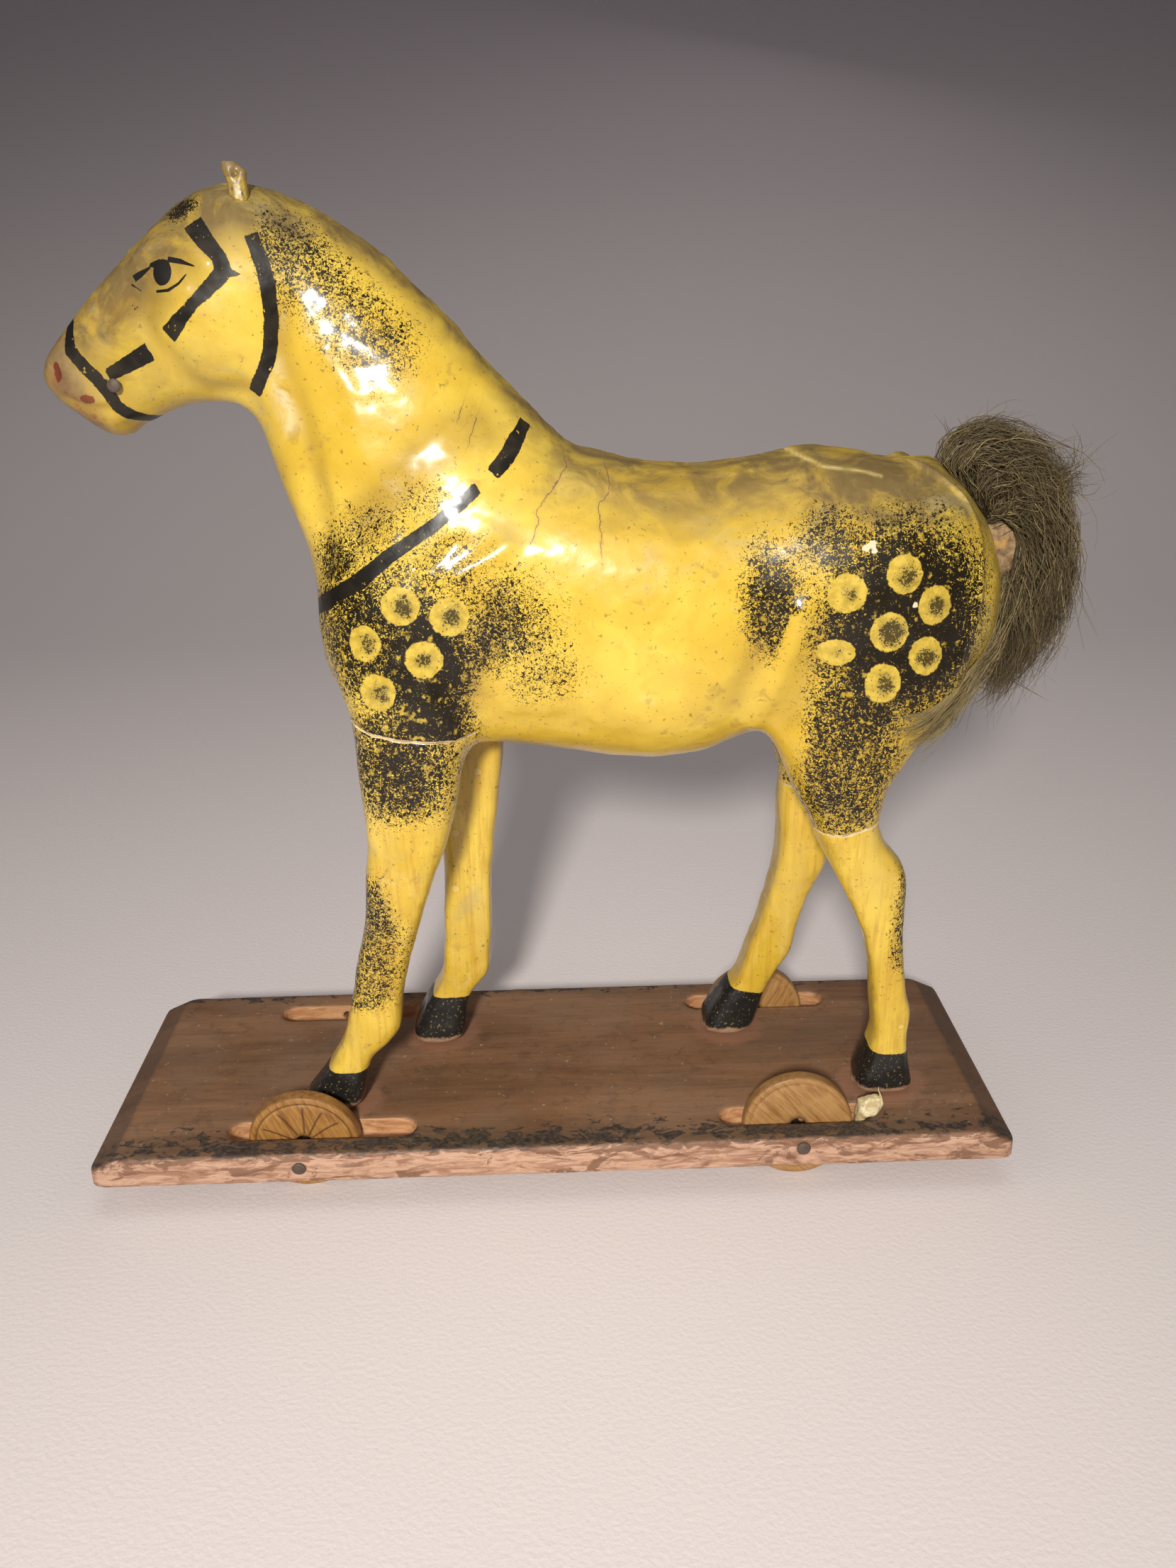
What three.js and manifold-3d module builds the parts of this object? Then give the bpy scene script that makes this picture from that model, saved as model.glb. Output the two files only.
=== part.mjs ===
// A pull-along horse: a hollow moulded horse in two half shells on four carved wooden legs,
// standing on a wooden platform whose disc wheels turn on nails inside slots.
// Millimetres, +Z up. The horse faces -X and its left side faces -Y.
// The floor is z = 0 and the middle of the whole toy's box is x = y = 0.
import * as THREE from "three";
import { mergeVertices } from "three/addons/utils/BufferGeometryUtils.js";
import Module from "manifold-3d";

const wasm = await Module();
wasm.setup();

// ---- Driving dimensions ----
const GAP = 0.3; // left between pieces that touch
const WALL = 3; // moulded shell
const GROUND_CLEARANCE = 8; // floor to the underside of the board

const BOARD = { length: 215, width: 71.5, thickness: 7.5 };
const END_BEVEL = { width: 6, depth: 3 };
const LONG_EDGE_BEVEL = 0.6;
const BOARD_CORNER_RADIUS = 3;
const BOARD_TOP = GROUND_CLEARANCE + BOARD.thickness;

const SLOT_WIDTH = 6.7;
const SLOTS = [
  { name: "front_left", from: -77, to: -33, y: -25.85 },
  { name: "rear_left", from: 39, to: 75, y: -25.85 },
  { name: "front_right", from: -73.6, to: -35.7, y: 25.6 },
  { name: "rear_right", from: 36.2, to: 73.5, y: 25.6 },
];

const WHEEL = { radius: 13, thickness: 3.6, edgeRound: 0.5, boreRadius: 2 };
const NAIL = { radius: 0.9, headRadius: 1.6, headThickness: 0.7, length: 26, point: 2 };
const BORE_SLACK = 0.8; // the worn bore lets the nail sit this far below the wheel's centre
const AXLES = [
  { name: "front_left", x: -59.2, y: -25.85, lean: 4 },
  { name: "rear_left", x: 57.6, y: -25.85, lean: -3 },
  { name: "rear_right", x: 54.7, y: 25.6, lean: 1 },
];
const LOST_AXLE = { x: -57, y: 25.6, lean: 0 }; // its nail and wheel are gone and its hole remains

const HOOF_NAIL_LENGTH = 16;
const LEG_Y = 14; // centre line of each leg, left and right of the middle
const LEG_FULLNESS = 2.6; // the legs are whittled, so their section is nearly square
const PEG = { radius: 3.5, length: 12 }; // on top of each leg, glued into the body
const FRONT_JOINT_Z = 112;
const HIND_JOINT_Z = 87;

const TAIL_PLUG = { radius: 4.2, from: 92, to: 104.5, z: 141 };
const TAIL_REACH = 118; // rear end of the hair
const TACK = { x: -82, z: 183, headRadius: 1.7, headHeight: 0.9, shankRadius: 0.5, shank: 3 };
const CENTRE_X = (TAIL_REACH - BOARD.length / 2) / 2;

// Trunk stations from chest to rump: x, top, bottom, half width.
const TRUNK = [
  [-48, 142, 128, 5],
  [-46.5, 149, 120, 12],
  [-43, 155, 113, 17],
  [-37, 160, 109, 20.5],
  [-28, 164, 106, 22.5],
  [-17, 167.5, 104.5, 23],
  [-5, 169.5, 103, 23],
  [6, 168.5, 101.5, 23.8],
  [15, 166.5, 100, 24.5],
  [25, 164.4, 99.2, 25],
  [35, 164, 100.5, 24.5],
  [45, 165, 104.5, 23.5],
  [55, 166.5, 109, 24],
  [65, 166, 110, 25],
  [75, 165, 110, 25],
  [84, 163.8, 111, 23.5],
  [91, 159, 114, 20],
  [96.5, 152, 120, 15],
  [99.5, 144, 127, 9],
  [100.5, 139, 132, 4],
];

// Neck and head stations: crest point x, z, throat or jaw point x, z, half width.
const NECK_AND_HEAD = [
  [19, 165.5, -25, 108, 18],
  [8, 168.3, -38, 113, 20],
  [0, 175.5, -46.5, 125, 19],
  [-8, 184, -47.8, 137, 17.5],
  [-15, 192, -50, 149, 15.5],
  [-22.5, 200, -53, 159, 13.8],
  [-31, 207.5, -55.3, 167.5, 12.8],
  [-41, 214.5, -57.2, 174.5, 12.6],
  [-50, 218.5, -60, 177.8, 13.6],
  [-58, 220, -63.5, 178.6, 14.4],
  [-65, 218.7, -67.5, 178.9, 14.2],
  [-71.5, 214.5, -72, 178.3, 13.2],
  [-78.5, 208.5, -77, 176.6, 11.5],
  [-86, 202, -81.5, 173.8, 10],
  [-92.5, 195.5, -86.5, 172, 9.2],
  [-97, 190.5, -93, 176.3, 8.2],
  [-99.6, 186.5, -98.3, 181, 5.5],
];

// Limb stations, top to bottom: z, front x, rear x, half thickness, and the centre line's
// distance from the middle where it isn't LEG_Y.
const SHOULDER = [
  [148, -40, -16, 8, 9],
  [136, -45, -11, 11, 11],
  [124, -44.5, -12.5, 11.5, 12.5],
  [116, -42.5, -14, 10.6, 13.5],
];
const THIGH = [
  [150, 62, 90, 10, 8],
  [134, 53, 94, 12.5, 12],
  [120, 49, 92, 12.2, 13],
  [110, 48, 86, 11.2, 13.5],
  [102, 52, 80.5, 10, 14],
  [95, 54.8, 76.5, 9, 14],
];
const LEGS = {
  front_left: {
    side: -1,
    upper: SHOULDER,
    nailX: -51,
    stations: [
      [FRONT_JOINT_Z, -41.3, -15, 9.8],
      [104, -41.2, -17.5, 9.2],
      [97, -40.8, -18.8, 8.8],
      [90, -40.2, -20.6, 8.2],
      [84, -40.3, -22.3, 7.6],
      [78, -41.2, -25, 7],
      [71, -41.8, -27.3, 6.8],
      [63, -42.6, -30, 6],
      [54, -45.2, -33, 5.6],
      [45, -47, -35, 5.5],
      [37, -48.8, -35.8, 5.8],
      [33, -50.2, -38.5, 5.6],
      [29.5, -52, -42.5, 5.4],
      [27, -53.5, -44, 6],
      [21, -58, -45, 6.6],
      [BOARD_TOP + GAP, -62, -46.5, 7],
    ],
  },
  front_right: {
    side: 1,
    upper: SHOULDER,
    nailX: -28,
    stations: [
      [FRONT_JOINT_Z, -35, -10, 9.8],
      [104, -32, -9.6, 9.2],
      [95, -28.5, -10.2, 8.4],
      [80, -26.6, -12.3, 7.4],
      [68, -26, -14, 6.6],
      [55, -26.7, -14.7, 6],
      [47, -27, -15, 5.8],
      [36, -27.8, -15.8, 5.8],
      [33, -28.8, -18.5, 5.6],
      [30, -30.5, -20.8, 5.6],
      [27.5, -32.5, -21.8, 6],
      [20, -36, -23, 6.6],
      [BOARD_TOP + GAP, -37, -24, 7],
    ],
  },
  hind_left: {
    side: -1,
    upper: THIGH,
    nailX: 80.5,
    stations: [
      [HIND_JOINT_Z, 59.3, 74.6, 8],
      [82, 61.2, 76.3, 7.4],
      [76, 64.3, 81, 6.8],
      [72, 66.3, 82.3, 6.4],
      [66, 69.6, 82.2, 5.6],
      [58, 73, 82.3, 5.2],
      [50, 75, 83, 5],
      [42, 76, 84.3, 5.2],
      [37, 76.6, 86, 5.4],
      [32, 77, 85.2, 5.2],
      [28, 76.6, 85.2, 5.8],
      [20, 73.7, 86.5, 6.4],
      [BOARD_TOP + GAP, 72.6, 88, 6.8],
    ],
  },
  hind_right: {
    side: 1,
    upper: THIGH,
    nailX: 47.5,
    stations: [
      [HIND_JOINT_Z, 57, 73.5, 8],
      [80, 56.6, 72.3, 7.5],
      [72, 57.2, 71.2, 6.9],
      [64, 56.9, 69, 6.4],
      [55, 55, 65, 5.8],
      [47, 53, 63, 5.4],
      [39, 50, 61.5, 5.4],
      [34, 48.8, 58.3, 5.4],
      [30, 47.3, 56, 5.4],
      [27.5, 44.5, 55, 5.8],
      [20, 39.8, 52.8, 6.4],
      [BOARD_TOP + GAP, 38.5, 51.5, 6.8],
    ],
  },
};

// Ear stations, base to tip: x, z, half width along x, half width along y. It stands at EAR_Y.
const EAR_Y = 7;
const EAR = [
  [-56, 210, 2.6, 2.2],
  [-55.6, 214, 2.5, 2],
  [-55.4, 218, 2.4, 1.7],
  [-55.8, 221.5, 2.3, 1.4],
  [-57, 223.4, 1.4, 1],
];
const EAR_STUMP_STATIONS = 3; // the broken ear is the foot of the whole one

// Hair stations from the top of the rump to the tip: x, z, half depth, half width.
const TAIL_HAIR = [
  [90, 168, 2.5, 4],
  [97, 167, 5, 7],
  [105, 162, 7, 9],
  [109, 153, 8.5, 10],
  [109.6, 141, 8.4, 10],
  [108.4, 128, 7.8, 9],
  [104.5, 116, 6, 7.5],
  [98, 107, 4, 5],
  [91, 101, 2, 2.5],
];

// Lump stations, bottom to top: z, from x, to x, half width.
const WAX_LUMP = [
  [11, 71.4, 74.2, 1.8],
  [15.2, 71.6, 74.2, 2.2],
  [16.2, 71.8, 77.2, 3],
  [18.2, 72.2, 78.2, 2.6],
  [19.6, 74.4, 77.4, 1],
];

// ---- Geometry helpers ----

// A BufferGeometry as a manifold-3d solid, turned the right way out.
function solid(geometry) {
  const bare = geometry.index ? geometry.toNonIndexed() : geometry.clone();
  bare.deleteAttribute("normal");
  bare.deleteAttribute("uv");
  const merged = mergeVertices(bare, 1e-4);
  const vertProperties = merged.attributes.position.array;
  const triVerts = new Uint32Array(merged.index.array);
  const made = new wasm.Manifold(new wasm.Mesh({ numProp: 3, vertProperties, triVerts }));
  if (made.volume() > 0) return made;
  triVerts.reverse();
  return new wasm.Manifold(new wasm.Mesh({ numProp: 3, vertProperties, triVerts }));
}

function geometryOf(manifold) {
  const mesh = manifold.getMesh();
  const geometry = new THREE.BufferGeometry();
  geometry.setAttribute("position", new THREE.BufferAttribute(mesh.vertProperties, 3));
  geometry.setIndex(new THREE.BufferAttribute(mesh.triVerts, 1));
  const flat = geometry.toNonIndexed();
  flat.computeVertexNormals();
  return flat;
}

// A closed skin over rings of points: each ring is a loop with the same number of points.
function loft(rings) {
  const count = rings[0].length;
  const middle = (ring) => ring.reduce((sum, p) => sum.add(p), new THREE.Vector3()).divideScalar(count);
  const points = [...rings.flat(), middle(rings[0]), middle(rings.at(-1))];
  const firstCap = points.length - 2;
  const lastRing = (rings.length - 1) * count;
  const index = [];
  for (let j = 0; j < count; j++) {
    const next = (j + 1) % count;
    for (let start = 0; start < lastRing; start += count) {
      index.push(start + j, start + next, start + count + j);
      index.push(start + next, start + count + next, start + count + j);
    }
    index.push(firstCap, next, j);
    index.push(firstCap + 1, lastRing + j, lastRing + next);
  }
  const geometry = new THREE.BufferGeometry().setFromPoints(points);
  geometry.setIndex(index);
  return solid(geometry);
}

// A station is an oval ring: its centre, a half axis "up" and a half width along y.
// Fullness 2 is an ellipse, and more is squarer.
function oval(station, grow, sides, fullness = 2.25) {
  const bulge = (value) => Math.sign(value) * Math.abs(value) ** (2 / fullness);
  const up = station.up.clone().setLength(Math.max(station.up.length() + grow, 0.4));
  const halfWidth = Math.max(station.halfWidth + grow, 0.4);
  return Array.from({ length: sides }, (_, i) => {
    const turn = (2 * Math.PI * (i + 0.5)) / sides;
    const point = station.centre.clone().addScaledVector(up, bulge(Math.sin(turn)));
    point.y += halfWidth * bulge(Math.cos(turn));
    return point;
  });
}

// The skin over stations, grown outwards by "grow" round every station and, if it grows, at the ends.
function skin(stations, grow, sides, fullness) {
  const moved = stations.map((s) => ({ ...s, centre: s.centre.clone() }));
  const last = stations.length - 1;
  for (const [end, inner] of [[0, 1], [last, last - 1]]) {
    const outward = stations[end].centre.clone().sub(stations[inner].centre);
    moved[end].centre.add(outward.setLength(Math.max(grow, 0)));
  }
  return loft(moved.map((s) => oval(s, grow, sides, fullness)));
}

const point = (x, y, z) => new THREE.Vector3(x, y, z);

function trunkStation([x, top, bottom, halfWidth]) {
  return { centre: point(x, 0, (top + bottom) / 2), up: point(0, 0, (top - bottom) / 2), halfWidth };
}

function neckStation([crestX, crestZ, throatX, throatZ, halfWidth]) {
  const centre = point((crestX + throatX) / 2, 0, (crestZ + throatZ) / 2);
  const up = point((crestX - throatX) / 2, 0, (crestZ - throatZ) / 2);
  return { centre, up, halfWidth };
}

function limbStation([z, front, rear, halfWidth, away = LEG_Y], side) {
  return { centre: point((front + rear) / 2, side * away, z), up: point((rear - front) / 2, 0, 0), halfWidth };
}

const union = (parts) => parts.reduce((whole, part) => whole.add(part));
const cutFrom = (whole, cutters) => cutters.reduce((rest, cutter) => rest.subtract(cutter), whole);

function box(from, to) {
  const size = point(to[0] - from[0], to[1] - from[1], to[2] - from[2]);
  const geometry = new THREE.BoxGeometry(size.x, size.y, size.z);
  return solid(geometry.translate(from[0] + size.x / 2, from[1] + size.y / 2, from[2] + size.z / 2));
}

function rod(radius, from, to, sides = 16) {
  const along = to.clone().sub(from);
  const geometry = new THREE.CylinderGeometry(radius, radius, along.length(), sides);
  geometry.applyQuaternion(new THREE.Quaternion().setFromUnitVectors(point(0, 1, 0), along.normalize()));
  const centre = from.clone().add(to).divideScalar(2);
  return solid(geometry.translate(centre.x, centre.y, centre.z));
}

// A turned shape: profile points are [radius, distance along the axis], axis start first.
function turned(profile, sides = 12) {
  return new THREE.LatheGeometry(profile.map(([r, along]) => new THREE.Vector2(r, along)), sides);
}

// A round-headed wire nail from the outside of its head along "direction".
function nail(headAt, direction, length, grow = 0) {
  const { radius, headRadius, headThickness, point: tip } = NAIL;
  const profile = [
    [0, -grow],
    [headRadius + grow, -grow],
    [headRadius + grow, headThickness + grow],
    [radius + grow, headThickness + grow],
    [radius + grow, length - tip],
    [0.2 + grow, length + grow],
    [0, length + grow],
  ];
  const geometry = turned(profile);
  const turn = new THREE.Quaternion().setFromUnitVectors(point(0, 1, 0), direction.clone().normalize());
  return solid(geometry.applyQuaternion(turn).translate(headAt.x, headAt.y, headAt.z));
}

// ---- Wheels and axle nails ----

// Where a wheel's centre is, with its rim on the floor, and the way its axle points into the board.
function axle({ x, y, lean }) {
  const side = Math.sign(y);
  const angle = THREE.MathUtils.degToRad(lean);
  const height = WHEEL.radius * Math.cos(angle) + (WHEEL.thickness / 2) * Math.abs(Math.sin(angle));
  const inward = point(0, -side * Math.cos(angle), Math.sin(angle));
  const centre = point(x, y, height);
  const reach = (BOARD.width / 2 - Math.abs(y)) / Math.cos(angle) + 0.2;
  const head = centre.clone().addScaledVector(inward, -reach);
  head.z -= BORE_SLACK;
  return { centre, inward, head };
}

function wheel(spec) {
  const { centre, inward } = axle(spec);
  const { radius, thickness, edgeRound, boreRadius } = WHEEL;
  const half = thickness / 2;
  const geometry = turned(
    [
      [boreRadius, -half],
      [radius - edgeRound, -half],
      [radius, -half + edgeRound],
      [radius, half - edgeRound],
      [radius - edgeRound, half],
      [boreRadius, half],
      [boreRadius, -half],
    ],
    40,
  );
  const turn = new THREE.Quaternion().setFromUnitVectors(point(0, 1, 0), inward);
  return solid(geometry.applyQuaternion(turn).translate(centre.x, centre.y, centre.z));
}

function axleNail(spec, grow) {
  const { head, inward } = axle(spec);
  return nail(head, inward, NAIL.length, grow);
}

// ---- Legs ----

function hoofNail(leg, grow) {
  const head = point(leg.nailX, leg.side * LEG_Y, GROUND_CLEARANCE - 0.2);
  return nail(head, point(0, 0, 1), HOOF_NAIL_LENGTH, grow);
}

function legSkin(leg, grow) {
  const stations = leg.stations.map((s) => limbStation(s, leg.side));
  const top = stations[0].centre;
  const pegTop = point(top.x, top.y, top.z + PEG.length + grow);
  return skin(stations, grow, 16, LEG_FULLNESS).add(rod(PEG.radius + grow, top, pegTop));
}

// ---- Body ----

// The whole horse above the legs, solid, grown by "grow".
function bodySkin(grow) {
  const trunk = skin(TRUNK.map(trunkStation), grow, 26);
  const neck = skin(NECK_AND_HEAD.map(neckStation), grow, 22);
  const uppers = Object.values(LEGS).map((leg) => {
    const stations = [...leg.upper, leg.stations[0]].map((s) => limbStation(s, leg.side));
    return skin(stations, grow, 16);
  });
  return union([trunk, neck, ...uppers]);
}

// The hollow stops short of the chest, the rump and the muzzle, which are thick.
function bodyCavity() {
  const trunk = skin(TRUNK.slice(2, -2).map(trunkStation), -WALL, 16);
  const neck = skin(NECK_AND_HEAD.slice(0, -3).map(neckStation), -WALL, 12);
  return trunk.add(neck);
}

function ear(side, count) {
  const stations = EAR.slice(0, count).map(([x, z, alongX, alongY]) => ({
    centre: point(x, side * EAR_Y, z),
    up: point(alongX, 0, 0),
    halfWidth: alongY,
  }));
  return skin(stations, 0, 10).subtract(bodySkin(GAP));
}

function tack(side, grow = 0) {
  const { headRadius, headHeight, shankRadius, shank } = TACK;
  const surfaceY = 11;
  const profile = [
    [0, -shank - grow],
    [shankRadius + grow, -shank - grow],
    [shankRadius + grow, -grow],
    [headRadius + grow, -grow],
    [headRadius * 0.7 + grow, headHeight * 0.7 + grow],
    [0, headHeight + grow],
  ];
  const geometry = turned(profile);
  const turn = new THREE.Quaternion().setFromUnitVectors(point(0, 1, 0), point(0, side, 0));
  return solid(geometry.applyQuaternion(turn).translate(TACK.x, side * surfaceY, TACK.z));
}

function tailPlug(grow) {
  const { radius, from, to, z } = TAIL_PLUG;
  return rod(radius + grow, point(from - grow, 0, z), point(to + grow, 0, z), 20);
}

function tailHair() {
  const slope = (i) => {
    const [before, after] = [TAIL_HAIR[Math.max(i - 1, 0)], TAIL_HAIR[Math.min(i + 1, TAIL_HAIR.length - 1)]];
    return point(after[0] - before[0], 0, after[1] - before[1]).normalize();
  };
  const stations = TAIL_HAIR.map(([x, z, depth, halfWidth], i) => {
    const along = slope(i);
    return { centre: point(x, 0, z), up: point(-along.z, 0, along.x).setLength(depth), halfWidth };
  });
  return cutFrom(skin(stations, 0, 14), [bodySkin(2 * GAP), tailPlug(GAP)]);
}

// ---- Board ----

function roundedRectangle(halfLength, halfWidth, z) {
  const corners = [[1, 1], [-1, 1], [-1, -1], [1, -1]];
  return corners.flatMap(([sx, sy], quarter) =>
    [0, 1, 2, 3].map((step) => {
      const turn = ((quarter + step / 3) * Math.PI) / 2;
      const x = sx * (halfLength - BOARD_CORNER_RADIUS) + BOARD_CORNER_RADIUS * Math.cos(turn);
      const y = sy * (halfWidth - BOARD_CORNER_RADIUS) + BOARD_CORNER_RADIUS * Math.sin(turn);
      return point(x, y, z);
    }),
  );
}

function slot({ from, to, y }) {
  const outline = new THREE.Shape();
  const half = SLOT_WIDTH / 2;
  outline.absarc(to - half, y, half, -Math.PI / 2, Math.PI / 2);
  outline.absarc(from + half, y, half, Math.PI / 2, (3 * Math.PI) / 2);
  const geometry = new THREE.ExtrudeGeometry(outline, {
    depth: BOARD.thickness + 2,
    bevelEnabled: false,
    curveSegments: 8,
  });
  return solid(geometry.translate(0, 0, GROUND_CLEARANCE - 1));
}

function board() {
  const [halfLength, halfWidth] = [BOARD.length / 2, BOARD.width / 2];
  const slab = loft([
    roundedRectangle(halfLength, halfWidth, GROUND_CLEARANCE),
    roundedRectangle(halfLength, halfWidth, BOARD_TOP - END_BEVEL.depth),
    roundedRectangle(halfLength - END_BEVEL.width, halfWidth - LONG_EDGE_BEVEL, BOARD_TOP),
  ]);
  const nails = [...AXLES, LOST_AXLE].map((spec) => axleNail(spec, GAP));
  const hoofNails = Object.values(LEGS).map((leg) => hoofNail(leg, GAP));
  return cutFrom(slab, [...SLOTS.map(slot), ...nails, ...hoofNails]);
}

function waxLump() {
  const stations = WAX_LUMP.map(([z, from, to, halfWidth]) =>
    limbStation([z, from, to, halfWidth, -SLOTS[1].y], -1),
  );
  const slab = box([-200, -50, GROUND_CLEARANCE], [200, 50, BOARD_TOP + GAP]);
  return skin(stations, 0, 8).subtract(slab.subtract(slot(SLOTS[1])));
}

// ---- Materials ----

const paint = (color, roughness, metalness = 0) => new THREE.MeshStandardMaterial({ color, roughness, metalness });
const MATERIALS = {
  yellowPaint: paint(0xd9a821, 0.35),
  brownPaint: paint(0x6b3f26, 0.6),
  varnishedWood: paint(0xa8742a, 0.4),
  iron: paint(0x4a4340, 0.55, 0.9),
  glueAndPaper: paint(0xc08a4a, 0.8),
  hair: paint(0x8d7a5c, 0.7),
  wax: paint(0xcdbb78, 0.45),
};

// ---- Assembly ----

const toy = new THREE.Group();
toy.position.x = -CENTRE_X;

function place(name, manifold, material) {
  const mesh = new THREE.Mesh(geometryOf(manifold), MATERIALS[material]);
  mesh.name = name;
  toy.add(mesh);
}

place("platform_board", board(), "brownPaint");
for (const spec of AXLES) {
  place(`wheel_${spec.name}`, wheel(spec), "varnishedWood");
  place(`axle_nail_${spec.name}`, axleNail(spec, 0), "iron");
}
for (const [name, leg] of Object.entries(LEGS)) {
  place(`leg_${name}`, legSkin(leg, 0).subtract(hoofNail(leg, GAP)), "yellowPaint");
  place(`hoof_nail_${name}`, hoofNail(leg, 0), "iron");
}

const cutters = [
  bodyCavity(),
  tailPlug(GAP),
  tack(-1, GAP),
  tack(1, GAP),
  ...Object.values(LEGS).map((leg) => legSkin(leg, GAP)),
];
const body = cutFrom(bodySkin(0), cutters);
const seam = GAP / 2;
place("body_shell_left", body.intersect(box([-150, -60, 0], [150, -seam, 300])), "yellowPaint");
place("body_shell_right", body.intersect(box([-150, seam, 0], [150, 60, 300])), "yellowPaint");
place("ear_left", ear(-1, EAR.length), "yellowPaint");
place("ear_right_stump", ear(1, EAR_STUMP_STATIONS), "yellowPaint");
place("bit_tack_left", tack(-1), "iron");
place("bit_tack_right", tack(1), "iron");
place("tail_plug", tailPlug(0), "glueAndPaper");
place("tail_hair", tailHair(), "hair");
place("wax_lump_rear_left", waxLump(), "wax");

const pullAlongToy = new THREE.Group();
pullAlongToy.add(toy);
export default pullAlongToy;
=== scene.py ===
import itertools
import math

import bmesh
import bpy
import numpy as np
from mathutils import Matrix, Vector
from mathutils.bvhtree import BVHTree


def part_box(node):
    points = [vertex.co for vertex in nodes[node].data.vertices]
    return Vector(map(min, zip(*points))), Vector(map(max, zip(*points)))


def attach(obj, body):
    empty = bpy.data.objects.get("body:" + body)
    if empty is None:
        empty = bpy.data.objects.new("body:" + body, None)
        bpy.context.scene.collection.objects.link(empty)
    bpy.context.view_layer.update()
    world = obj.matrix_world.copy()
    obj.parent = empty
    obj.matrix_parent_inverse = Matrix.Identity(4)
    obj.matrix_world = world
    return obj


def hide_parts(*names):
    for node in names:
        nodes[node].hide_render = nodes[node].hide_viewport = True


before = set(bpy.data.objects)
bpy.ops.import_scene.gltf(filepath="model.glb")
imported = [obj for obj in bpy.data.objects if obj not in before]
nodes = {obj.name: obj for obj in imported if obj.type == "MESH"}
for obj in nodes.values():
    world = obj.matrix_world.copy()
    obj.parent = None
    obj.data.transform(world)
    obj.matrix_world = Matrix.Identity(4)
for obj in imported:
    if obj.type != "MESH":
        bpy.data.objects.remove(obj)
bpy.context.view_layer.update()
MM = 0.001
scene = bpy.context.scene


# ---------------------------------------------------------------- camera and lights

CAMERA_AT = (-2.55, -283.4, 205.8)
CAMERA_AHEAD = (0.0231, 0.9267, -0.3751)
CAMERA_RIGHT = (0.9994, -0.0311, -0.0153)
LIGHTS_AIM = Vector((0, 0, 0.1))
FLASH_COLOUR, FILL_COLOUR = (1.0, 0.965, 0.91), (1.0, 0.98, 0.96)
# Each light: name, place, diameter, watts, colour, spread in degrees, whether gloss mirrors it.
LIGHTS = [
    ("key", (-0.09, -0.66, 0.41), 0.08, 1.55, FLASH_COLOUR, 92, True),
    ("fill_left", (-0.9, -0.4, 0.6), 0.8, 1.3, FILL_COLOUR, 180, False),
    ("fill_right", (0.9, -0.5, 0.7), 0.8, 0.9, FILL_COLOUR, 180, False),
    ("fill_back", (0.25, 0.95, 0.75), 0.8, 0.45, FILL_COLOUR, 180, False),
    ("top", (0.0, -0.05, 1.1), 0.7, 1.5, (1, 1, 1), 180, True),
]
WORLD_COLOUR, WORLD_STRENGTH = (0.84, 0.80, 0.80, 1), 0.09


def make_camera():
    data = bpy.data.cameras.new("camera")
    data.lens, data.sensor_width = 30, 36
    data.clip_start, data.clip_end = 0.01, 20
    cam = bpy.data.objects.new("camera", data)
    scene.collection.objects.link(cam)
    ahead = Vector(CAMERA_AHEAD).normalized()
    up = Vector(CAMERA_RIGHT).normalized().cross(ahead).normalized()
    turn = Matrix((ahead.cross(up), up, -ahead)).transposed()
    cam.matrix_world = Matrix.Translation(Vector(CAMERA_AT) * MM) @ turn.to_4x4()
    scene.camera = cam


def make_lights():
    for name, at, size, watts, colour, spread, mirrored_by_gloss in LIGHTS:
        data = bpy.data.lights.new(name, "AREA")
        data.shape, data.size, data.energy = "DISK", size, watts
        data.color, data.spread = colour, math.radians(spread)
        light = bpy.data.objects.new(name, data)
        light.location = Vector(at)
        light.visible_glossy = mirrored_by_gloss
        light.rotation_mode = "QUATERNION"
        light.rotation_quaternion = (LIGHTS_AIM - Vector(at)).to_track_quat("-Z", "Y")
        scene.collection.objects.link(light)
    world = bpy.data.worlds.new("world")
    world.use_nodes = True
    back = world.node_tree.nodes["Background"].inputs
    back["Color"].default_value = WORLD_COLOUR
    back["Strength"].default_value = WORLD_STRENGTH
    scene.world = world
    scene.view_settings.view_transform = "Standard"


# ---------------------------------------------------------------- mesh helpers (millimetres)

def add_object(name, mesh):
    ob = bpy.data.objects.new(name, mesh)
    scene.collection.objects.link(ob)
    return ob


def add_piece(name, mesh, material, replaced=None, body="toy"):
    """A visible piece that rides a body, and stands for a CAD node if one is named."""
    mesh.materials.clear()
    mesh.materials.append(material)
    piece = add_object(name, mesh)
    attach(piece, body)
    if replaced:
        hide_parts(replaced)


def mesh_from(name, verts, faces):
    """A smooth shaded mesh."""
    mesh = bpy.data.meshes.new(name)
    mesh.from_pydata((np.asarray(verts) * MM).tolist(), [], faces)
    mesh.polygons.foreach_set("use_smooth", [True] * len(mesh.polygons))
    mesh.update()
    return mesh


def coords(mesh):
    co = np.empty(len(mesh.vertices) * 3, np.float32)
    mesh.vertices.foreach_get("co", co)
    return co.reshape(-1, 3).astype(float) / MM


def set_coords(mesh, co):
    mesh.vertices.foreach_set("co", (co * MM).astype(np.float32).ravel())
    mesh.update()


def normals(mesh):
    n = np.empty(len(mesh.vertices) * 3, np.float32)
    mesh.vertex_normals.foreach_get("vector", n)
    return n.reshape(-1, 3).astype(float)


def edge_array(mesh):
    e = np.empty(len(mesh.edges) * 2, np.int32)
    mesh.edges.foreach_get("vertices", e)
    return e.reshape(-1, 2)


def push(co, n, amount):
    """Moves points along their normals, in place."""
    co += n * amount[:, None]


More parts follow.
